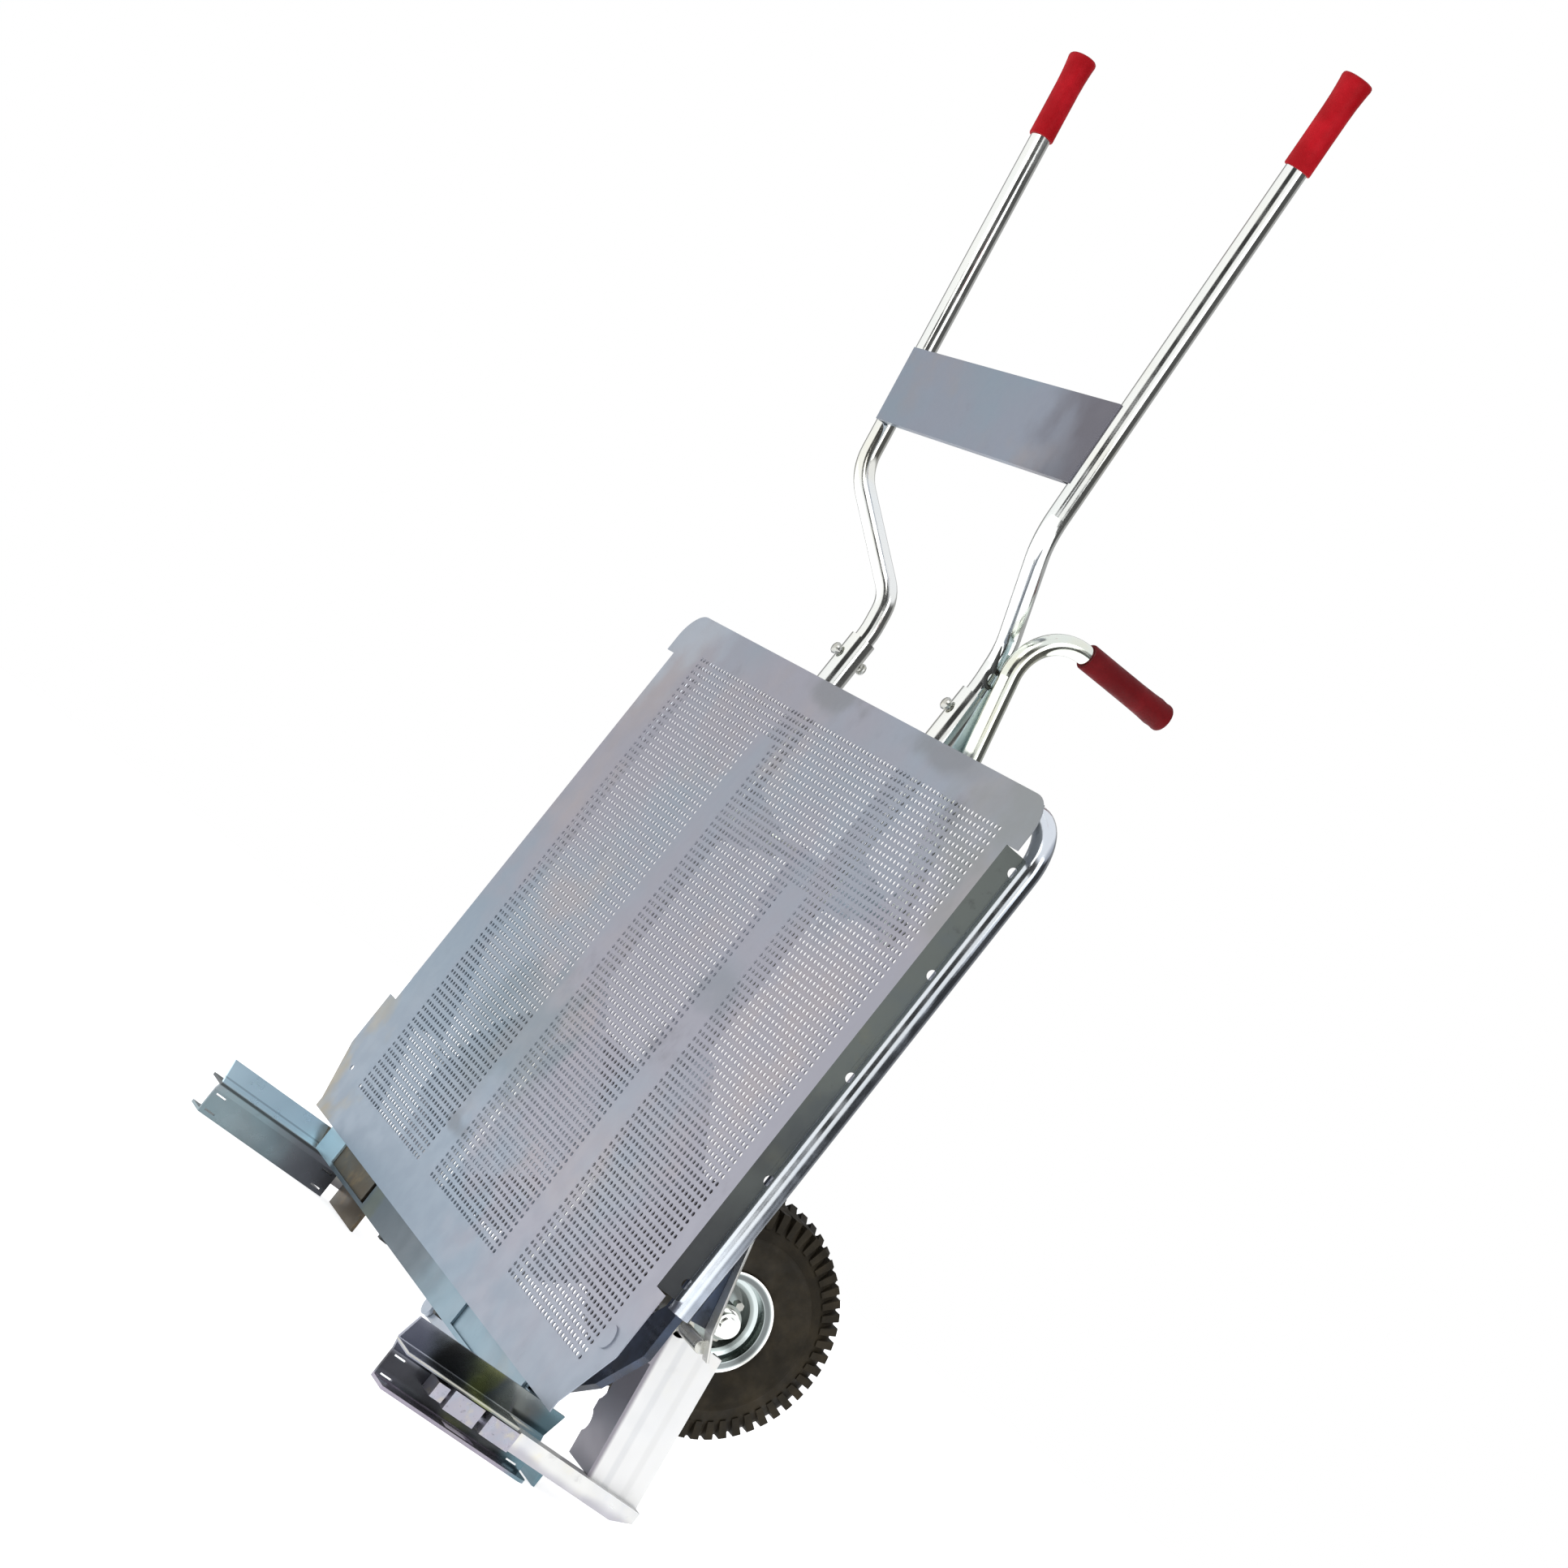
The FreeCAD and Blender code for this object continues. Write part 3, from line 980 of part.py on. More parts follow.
def build():
    nodes = {
        "panel": panel(),
        "panel_plug": panel_plug(),
        "top_tube": top_tube(),
        "cross_beam": cross_beam(),
        "clamp_bolts": clamp_bolts(),
        "limit_bolts": limit_bolts(),
        "axle": axle(),
        "axle_spacers": axle_spacers(),
        "axle_stops": axle_stops(),
        "crank_pivot": crank_pivot(),
        "crank": crank(),
        "pull_rod": pull_rod(),
        "lever_tube": lever_tube(),
        "lever_shaft": lever_shaft(),
        "lever_grip": lever_grip(),
        "lever_guide": lever_guide(),
        "drive_arm": drive_arm(),
        "cross_plate": cross_plate(),
        "tie_left": jaw_tie(-1),
        "tie_right": jaw_tie(1),
    }
    pairs = {
        "side_tube": side_tube(),
        "back_rail": back_rail(),
        "corner_brace": corner_brace(),
        "axle_bracket": axle_bracket(),
        "gusset": gusset(),
        "guide_pin": guide_pin(),
        "shaft_bearing": shaft_bearing(),
        "jaw": jaw(),
        "jaw_arm": jaw_arm(),
        "jaw_bar": jaw_bar(),
        "jaw_blocks": jaw_blocks(),
        "upright": upright(),
        "guide_bush": guide_bush(),
        "stop_plate": stop_plate(),
        "tyre": tyre(),
        "rim": rim(),
        "wheel_bearings": wheel_bearings(),
        "rim_bolts": rim_bolts(),
        "handle": handle(),
        "handle_grip": handle_grip(),
    }
    for name, shape in pairs.items():
        nodes[name + "_left"] = mirrored(shape)
        nodes[name + "_right"] = shape
    for shape in nodes.values():
        shape.translate(V(0, -ORIGIN_Y, 0))
    return nodes


def main():
    os.makedirs("parts", exist_ok=True)
    for name, shape in build().items():
        shape.exportStep("parts/" + name + ".step")
        print(name, len(shape.Solids), round(shape.Volume), shape.isValid())


main()
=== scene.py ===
# Brick cart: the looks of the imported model, built round its frame.
import math

import bmesh
import bpy
from mathutils import Matrix, Vector


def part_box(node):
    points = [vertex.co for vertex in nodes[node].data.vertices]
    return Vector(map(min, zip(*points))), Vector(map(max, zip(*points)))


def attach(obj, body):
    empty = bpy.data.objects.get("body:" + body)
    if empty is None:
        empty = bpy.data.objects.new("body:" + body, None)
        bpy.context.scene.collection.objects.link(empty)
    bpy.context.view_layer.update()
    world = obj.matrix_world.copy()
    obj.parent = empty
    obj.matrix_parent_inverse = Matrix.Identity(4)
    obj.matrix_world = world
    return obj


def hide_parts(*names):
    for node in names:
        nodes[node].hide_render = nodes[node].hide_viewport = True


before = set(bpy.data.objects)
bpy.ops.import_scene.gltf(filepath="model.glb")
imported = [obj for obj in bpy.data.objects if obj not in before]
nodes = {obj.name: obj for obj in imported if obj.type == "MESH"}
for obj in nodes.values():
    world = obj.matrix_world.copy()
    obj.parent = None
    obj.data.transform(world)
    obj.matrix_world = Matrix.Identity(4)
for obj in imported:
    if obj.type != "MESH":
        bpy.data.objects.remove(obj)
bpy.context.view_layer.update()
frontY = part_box("panel")[0].y  # the panel's front face
print("frame loaded,", len(nodes), "nodes")


# camera, floor and light

cameraSetup = {
    "place": (3.5547866, -1.7852125, 0.5571368),
    "right": (0.3687534, 0.6897800, 0.6230766),
    "up": (-0.2307698, -0.5813931, 0.7802098),
    "back": (0.9004256, -0.4314923, -0.0552103),
    "lens": 76.12,
}


def placeCamera():
    bpy.ops.object.camera_add(location=cameraSetup["place"])
    camera = bpy.context.object
    camera.name = "photoCamera"
    turn = Matrix((cameraSetup["right"], cameraSetup["up"], cameraSetup["back"])).transposed()
    camera.rotation_mode = "QUATERNION"
    camera.rotation_quaternion = turn.to_quaternion()
    camera.data.sensor_width = 36
    camera.data.lens = cameraSetup["lens"]
    camera.data.clip_start = 0.05
    camera.data.clip_end = 200
    bpy.context.scene.camera = camera


def areaLight(name, place, target, size, power, tint):
    bpy.ops.object.light_add(type="AREA", location=place)
    lamp = bpy.context.object
    lamp.name = name
    lamp.data.shape = "RECTANGLE"
    lamp.data.size, lamp.data.size_y = size
    lamp.data.energy = power
    lamp.data.color = tint
    lamp.rotation_mode = "QUATERNION"
    lamp.rotation_quaternion = (Vector(target) - Vector(place)).to_track_quat("-Z", "Y")


studio = {
    "floorTone": (0.80, 0.80, 0.80, 1),
    "floorGlow": 0.75,
    "floorSize": 10,
    "roomBright": (1, 1, 1, 1),
    "overhead": (0.95, 0.96, 1.0, 1),
    # name, place, target, size, power, tint
    "lamps": [
        ("keySoftbox", (2.0, -3.6, 3.4), (0, 0, 0.6), (2.4, 2.4), 46, (1, 0.99, 0.97)),
        ("sideSoftbox", (3.8, 0.8, 2.2), (0, 0, 0.5), (1.6, 2.6), 30, (0.97, 0.98, 1)),
    ],
    # the room's walls, from the cart's left round its front and right: place on the circle, brightness
    "walls": [
        (0.00, 0.28), (0.045, 0.28), (0.085, 1.05), (0.300, 1.10), (0.320, 0.05), (0.415, 0.05),
        (0.432, 1.05),
        (0.515, 1.00), (0.535, 0.06), (0.730, 0.10), (0.760, 0.40), (0.930, 0.45), (0.97, 0.28),
    ],
    # the same walls above the eye line, where the narrow light in front ends
    "upperWalls": [
        (0.00, 0.28), (0.045, 0.28), (0.085, 1.05), (0.300, 1.10), (0.320, 0.06), (0.430, 0.07),
        (0.520, 0.14),
        (0.535, 0.08), (0.730, 0.10), (0.760, 0.40), (0.930, 0.45), (0.97, 0.28),
    ],
    "upperStart": (0.565, 0.615),
    "ceiling": (0.735, 0.800),
}


def rampOf(tree, value, stops):
    band = tree.nodes.new("ShaderNodeValToRGB")
    while len(band.color_ramp.elements) < len(stops):
        band.color_ramp.elements.new(0.5)
    for element, (at, tone) in zip(band.color_ramp.elements, stops):
        element.position = at
        element.color = (tone, tone, tone, 1)
    tree.links.new(value, band.inputs["Fac"])
    return band


def rgbaSocket(sockets, name):
    return [socket for socket in sockets if socket.name == name and socket.type == "RGBA"][0]


def newMaterial(name):
    material = bpy.data.materials.new(name)
    material.use_nodes = True
    tree = material.node_tree
    return material, tree, tree.nodes["Principled BSDF"]


def buildStudio():
    bpy.ops.mesh.primitive_plane_add(size=studio["floorSize"], location=(0, 0, 0))
    floor = bpy.context.object
    floor.name = "studioFloor"
    paint, tree, skin = newMaterial("studioFloor")
    skin.inputs["Base Color"].default_value = studio["floorTone"]
    skin.inputs["Roughness"].default_value = 0.9
    skin.inputs["Specular IOR Level"].default_value = 0.1
    skin.inputs["Emission Color"].default_value = (1, 1, 1, 1)
    skin.inputs["Emission Strength"].default_value = studio["floorGlow"]
    floor.data.materials.append(paint)

    world = bpy.data.worlds.new("studioRoom")
    bpy.context.scene.world = world
    world.use_nodes = True
    tree = world.node_tree
    tree.nodes.clear()
    out = tree.nodes.new("ShaderNodeOutputWorld")
    mix = tree.nodes.new("ShaderNodeMixShader")
    seen = tree.nodes.new("ShaderNodeBackground")
    room = tree.nodes.new("ShaderNodeBackground")
    path = tree.nodes.new("ShaderNodeLightPath")
    where = tree.nodes.new("ShaderNodeTexCoord")
    split = tree.nodes.new("ShaderNodeSeparateXYZ")
    turnRound = tree.nodes.new("ShaderNodeMapping")
    radial = tree.nodes.new("ShaderNodeTexGradient")
    walls = rampOf(tree, radial.outputs["Fac"], studio["walls"])
    upperWalls = rampOf(tree, radial.outputs["Fac"], studio["upperWalls"])
    height = tree.nodes.new("ShaderNodeMapRange")
    blend = tree.nodes.new("ShaderNodeMix")
    allWalls = tree.nodes.new("ShaderNodeMix")
    seen.inputs["Color"].default_value = studio["roomBright"]
    radial.gradient_type = "RADIAL"
    tree.links.new(where.outputs["Generated"], turnRound.inputs["Vector"])
    tree.links.new(turnRound.outputs["Vector"], radial.inputs["Vector"])
    tree.links.new(where.outputs["Generated"], split.inputs["Vector"])
    height.inputs["From Min"].default_value = -1
    height.inputs["From Max"].default_value = 1
    tree.links.new(split.outputs["Z"], height.inputs["Value"])
    ceiling = rampOf(tree, height.outputs["Result"], [(studio["ceiling"][0], 0), (studio["ceiling"][1], 1)])
    upper = rampOf(tree, height.outputs["Result"],
                   [(studio["upperStart"][0], 0), (studio["upperStart"][1], 1)])
    for mixer, amount in ((allWalls, upper), (blend, ceiling)):
        mixer.data_type = "RGBA"
        tree.links.new(amount.outputs["Color"], mixer.inputs["Factor"])
    tree.links.new(walls.outputs["Color"], rgbaSocket(allWalls.inputs, "A"))
    tree.links.new(upperWalls.outputs["Color"], rgbaSocket(allWalls.inputs, "B"))
    tree.links.new(rgbaSocket(allWalls.outputs, "Result"), rgbaSocket(blend.inputs, "A"))
    rgbaSocket(blend.inputs, "B").default_value = studio["overhead"]
    tree.links.new(rgbaSocket(blend.outputs, "Result"), room.inputs["Color"])
    tree.links.new(path.outputs["Is Camera Ray"], mix.inputs["Fac"])
    tree.links.new(room.outputs["Background"], mix.inputs[1])
    tree.links.new(seen.outputs["Background"], mix.inputs[2])
    tree.links.new(mix.outputs["Shader"], out.inputs["Surface"])

    for lamp in studio["lamps"]:
        areaLight(*lamp)
    bpy.context.scene.view_settings.view_transform = "Standard"


placeCamera()
buildStudio()
print("camera, floor and light placed")


# bench work: small helpers for shaping pieces

def clearSelection():
    if bpy.context.object and bpy.context.object.mode != "OBJECT":
        bpy.ops.object.mode_set(mode="OBJECT")
    bpy.ops.object.select_all(action="DESELECT")


def workOn(piece):
    clearSelection()
    piece.select_set(True)
    bpy.context.view_layer.objects.active = piece


def openMesh(piece):
    workOn(piece)
    bpy.ops.object.mode_set(mode="EDIT")


def closeMesh():
    bpy.ops.object.mode_set(mode="OBJECT")


def pickVerts(test):
    bpy.ops.mesh.select_mode(type="VERT")
    bpy.ops.mesh.select_all(action="DESELECT")
    cage = bmesh.from_edit_mesh(bpy.context.object.data)
    for corner in cage.verts:
        corner.select = bool(test(corner.co))
    cage.select_flush(True)
    bmesh.update_edit_mesh(bpy.context.object.data)


def settle(piece):
    workOn(piece)
    bpy.ops.object.transform_apply(location=True, rotation=True, scale=True)


def addModifier(piece, kind, **values):
    modifier = piece.modifiers.new(kind.lower(), kind)
    for key, value in values.items():
        setattr(modifier, key, value)
    return modifier


def applyModifiers(piece):
    workOn(piece)
    for modifier in list(piece.modifiers):
        bpy.ops.object.modifier_apply(modifier=modifier.name)


def tidyMesh(piece, gap=0.00001):
    openMesh(piece)
    bpy.ops.mesh.select_all(action="SELECT")
    bpy.ops.mesh.remove_doubles(threshold=gap)
    bpy.ops.mesh.normals_make_consistent(inside=False)
    closeMesh()


def smoothByAngle(piece, degrees):
    workOn(piece)
    bpy.ops.object.shade_smooth_by_angle(angle=math.radians(degrees))


def boxBetween(name, low, high):
    clearSelection()
    middle = (Vector(low) + Vector(high)) / 2
    bpy.ops.mesh.primitive_cube_add(size=1, location=middle)
    box = bpy.context.object
    box.name = box.data.name = name
    box.scale = Vector(high) - Vector(low)
    settle(box)
    return box


def joinPieces(name, pieces):
    clearSelection()
    for piece in pieces:
        piece.select_set(True)
    bpy.context.view_layer.objects.active = pieces[0]
    if len(pieces) > 1:
        bpy.ops.object.join()
    joined = bpy.context.object
    joined.name = joined.data.name = name
    return joined


def copyPiece(piece, name):
    double = piece.copy()
    double.data = piece.data.copy()
    double.name = double.data.name = name
    bpy.context.scene.collection.objects.link(double)
    return double


def freeCopy(node, name):
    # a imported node's own copy, without its marks, that may be reshaped
    piece = copyPiece(nodes[node], name)
    for key in list(piece.keys()):
        del piece[key]
    piece.parent = None
    tidyMesh(piece)
    return piece


def mirrorPiece(piece, name):
    # the left-hand twin of a right-hand piece
    twin = copyPiece(piece, name)
    twin.scale = (-1, 1, 1)
    settle(twin)
    openMesh(twin)
    bpy.ops.mesh.select_all(action="SELECT")
    bpy.ops.mesh.normals_make_consistent(inside=False)
    closeMesh()
    return twin


def alignTo(piece, start, heading):
    # turns a piece drawn along Z at the origin so that it starts at a point and runs along a heading
    turn = Vector(heading).to_track_quat("Z", "Y").to_matrix().to_4x4()
    piece.matrix_world = Matrix.Translation(Vector(start)) @ turn
    settle(piece)


def turned(name, steps, section):
    # a lathe-turned form about Z: section is a list of (height, radius), closed where it ends as it starts
    clearSelection()
    height, radius = section[0]
    bpy.ops.mesh.primitive_circle_add(vertices=steps, radius=radius, fill_type="NOTHING",
                                      location=(0, 0, height))
    piece = bpy.context.object
    piece.name = piece.data.name = name
    settle(piece)
    openMesh(piece)
    bpy.ops.mesh.select_all(action="SELECT")
    for (low, small), (high, wide) in zip(section, section[1:]):
        bpy.ops.mesh.extrude_edges_move(TRANSFORM_OT_translate={"value": (0, 0, high - low)})
        factor = wide / small
        bpy.ops.transform.resize(value=(factor, factor, 1), center_override=(0, 0, high))
    closeMesh()
    tidyMesh(piece)
    return piece


def finishPiece(piece, material, slot, body, *replaced):
    piece.data.materials.clear()
    piece.data.materials.append(material)
    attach(piece, body)
    if replaced:
        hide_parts(*replaced)
    return piece


# finishes

def nodeGroup(name, inputs, outputs):
    group = bpy.data.node_groups.new(name, "ShaderNodeTree")
    for label, kind, value in inputs:
        socket = group.interface.new_socket(label, in_out="INPUT", socket_type=kind)
        socket.default_value = value
    for label, kind in outputs:
        group.interface.new_socket(label, in_out="OUTPUT", socket_type=kind)
    return group


def noiseAt(tree, vector, scale, detail=3, rough=0.5):
    noise = tree.nodes.new("ShaderNodeTexNoise")
    noise.inputs["Scale"].default_value = scale
    noise.inputs["Detail"].default_value = detail
    noise.inputs["Roughness"].default_value = rough
    tree.links.new(vector, noise.inputs["Vector"])
    return noise.outputs["Fac"]


def rangeOf(tree, value, low, high, start=0.0, end=1.0):
    spread = tree.nodes.new("ShaderNodeMapRange")
    spread.interpolation_type = "SMOOTHSTEP"
    spread.inputs["From Min"].default_value = low
    spread.inputs["From Max"].default_value = high
    spread.inputs["To Min"].default_value = start
    spread.inputs["To Max"].default_value = end
    tree.links.new(value, spread.inputs["Value"])
    return spread.outputs["Result"]


def feed(tree, socket, value):
    # sets a socket to a number or a tone, or links it to another node's socket
    if isinstance(value, (int, float, tuple)):
        socket.default_value = value
    else:
        tree.links.new(value, socket)


def mathOf(tree, operation, first, second):
    step = tree.nodes.new("ShaderNodeMath")
    step.operation = operation
    feed(tree, step.inputs[0], first)
    feed(tree, step.inputs[1], second)
    return step.outputs["Value"]


def mixTones(tree, amount, first, second):
    mix = tree.nodes.new("ShaderNodeMix")
    mix.data_type = "RGBA"
    feed(tree, mix.inputs[0], amount)
    feed(tree, rgbaSocket(mix.inputs, "A"), first)
    feed(tree, rgbaSocket(mix.inputs, "B"), second)
    return rgbaSocket(mix.outputs, "Result")


def addBump(tree, skin, height, strength, distance):
    bump = tree.nodes.new("ShaderNodeBump")
    bump.inputs["Strength"].default_value = strength
    bump.inputs["Distance"].default_value = distance
    tree.links.new(height, bump.inputs["Height"])
    tree.links.new(bump.outputs["Normal"], skin.inputs["Normal"])


bandCore = 0.35  # share of a band's half width that has its full tone


def vectorStep(tree, operation, place, value):
    step = tree.nodes.new("ShaderNodeVectorMath")
    step.operation = operation
    step.inputs[1].default_value = value
    tree.links.new(place, step.inputs[0])
    return step.outputs


def zoneMask(tree, where, zone):
    # a soft step along a direction or out from an axle, a band across it, or a spot, with an uneven border
    if "axle" in zone:
        flat = vectorStep(tree, "MULTIPLY", where, (0, 1, 1))["Vector"]
        place = vectorStep(tree, "DISTANCE", flat, (0, *zone["axle"]))["Value"]
    elif "spot" in zone:
        (x, z), (wide, high) = zone["spot"], zone["size"]
        flat = vectorStep(tree, "MULTIPLY", where, (1 / wide, 0, 1 / high))["Vector"]
        place = vectorStep(tree, "DISTANCE", flat, (x / wide, 0, z / high))["Value"]
    else:
        place = vectorStep(tree, "DOT_PRODUCT", where, zone["along"])["Value"]
    wobble = zone.get("wobble", 0.0)
    if wobble:
        place = mathOf(tree, "ADD", place,
                       rangeOf(tree, noiseAt(tree, where, 14, 3), 0.3, 0.7, -wobble, wobble))
    if "half" in zone:
        gap = mathOf(tree, "ABSOLUTE", mathOf(tree, "SUBTRACT", place, zone["at"]), 0.0)
        mask = rangeOf(tree, gap, zone["half"] * bandCore, zone["half"], 1.0, 0.0)
    else:
        mask = rangeOf(tree, place, zone["start"], zone["end"])
    return mathOf(tree, "MULTIPLY", mask, zone.get("amount", 1.0))


def buildPlatingGroup():
    # zinc plating: a base tone with broad cool and warm patches and dark smudges
    group = nodeGroup(
        "zincPlating",
        [
            ("Base", "NodeSocketColor", (0.5, 0.5, 0.55, 1)),
            ("Cool", "NodeSocketColor", (0.4, 0.5, 0.6, 1)),
            ("Warm", "NodeSocketColor", (0.6, 0.5, 0.4, 1)),
            ("Dark", "NodeSocketColor", (0.1, 0.1, 0.12, 1)),
            ("Cloud Scale", "NodeSocketFloat", 4.0),
            ("Cool Amount", "NodeSocketFloat", 0.5),
            ("Warm Amount", "NodeSocketFloat", 0.3),
            ("Smudges", "NodeSocketFloat", 0.3),
            ("Polish", "NodeSocketFloat", 0.3),
        ],
        [("Tone", "NodeSocketColor"), ("Roughness", "NodeSocketFloat")],
    )
    given = group.nodes.new("NodeGroupInput")
    made = group.nodes.new("NodeGroupOutput")
    where = group.nodes.new("ShaderNodeTexCoord").outputs["Object"]
    spread = group.nodes.new("ShaderNodeVectorMath")
    spread.operation = "SCALE"
    group.links.new(where, spread.inputs[0])
    group.links.new(given.outputs["Cloud Scale"], spread.inputs["Scale"])
    cloudy = spread.outputs["Vector"]
    shifted = group.nodes.new("ShaderNodeMapping")
    shifted.inputs["Location"].default_value = (3.1, 7.7, 1.9)
    group.links.new(cloudy, shifted.inputs["Vector"])

    def patches(vector, scale, detail, rough, low, high, amount):
        mask = rangeOf(group, noiseAt(group, vector, scale, detail, rough), low, high)
        return mathOf(group, "MULTIPLY", mask, given.outputs[amount])

    cool = patches(cloudy, 1.0, 4, 0.55, 0.45, 0.68, "Cool Amount")
    warm = patches(shifted.outputs["Vector"], 1.4, 4, 0.6, 0.5, 0.72, "Warm Amount")
    smudge = patches(shifted.outputs["Vector"], 3.2, 6, 0.65, 0.58, 0.78, "Smudges")
    tone = mixTones(group, cool, given.outputs["Base"], given.outputs["Cool"])
    tone = mixTones(group, warm, tone, given.outputs["Warm"])
    tone = mixTones(group, smudge, tone, given.outputs["Dark"])
    group.links.new(tone, made.inputs["Tone"])
    wear = rangeOf(group, noiseAt(group, where, 35, 3), 0.3, 0.7, -0.05, 0.07)
    group.links.new(mathOf(group, "ADD", given.outputs["Polish"], wear), made.inputs["Roughness"])
    return group


platingGroup = buildPlatingGroup()


def platedFinish(name, look):
    material, tree, skin = newMaterial(name)
    plating = tree.nodes.new("ShaderNodeGroup")
    plating.node_tree = platingGroup
    for label in ("Base", "Cool", "Warm", "Dark"):
        plating.inputs[label].default_value = (*look[label.lower()], 1)
    for label, value in zip(("Cloud Scale", "Cool Amount", "Warm Amount", "Smudges", "Polish"),
                            look["plating"]):
        plating.inputs[label].default_value = value
    tone = plating.outputs["Tone"]
    where = tree.nodes.new("ShaderNodeTexCoord").outputs["Object"]
    for zone in look.get("zones", []):
        tone = mixTones(tree, zoneMask(tree, where, zone), tone, (*zone["tone"], 1))
    tree.links.new(tone, skin.inputs["Base Color"])
    tree.links.new(plating.outputs["Roughness"], skin.inputs["Roughness"])
    skin.inputs["Metallic"].default_value = look["metal"]
    return material


axleRadius = 0.010
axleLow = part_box("axle")[0]
axleLine = (axleLow.y + axleRadius, axleLow.z + axleRadius)

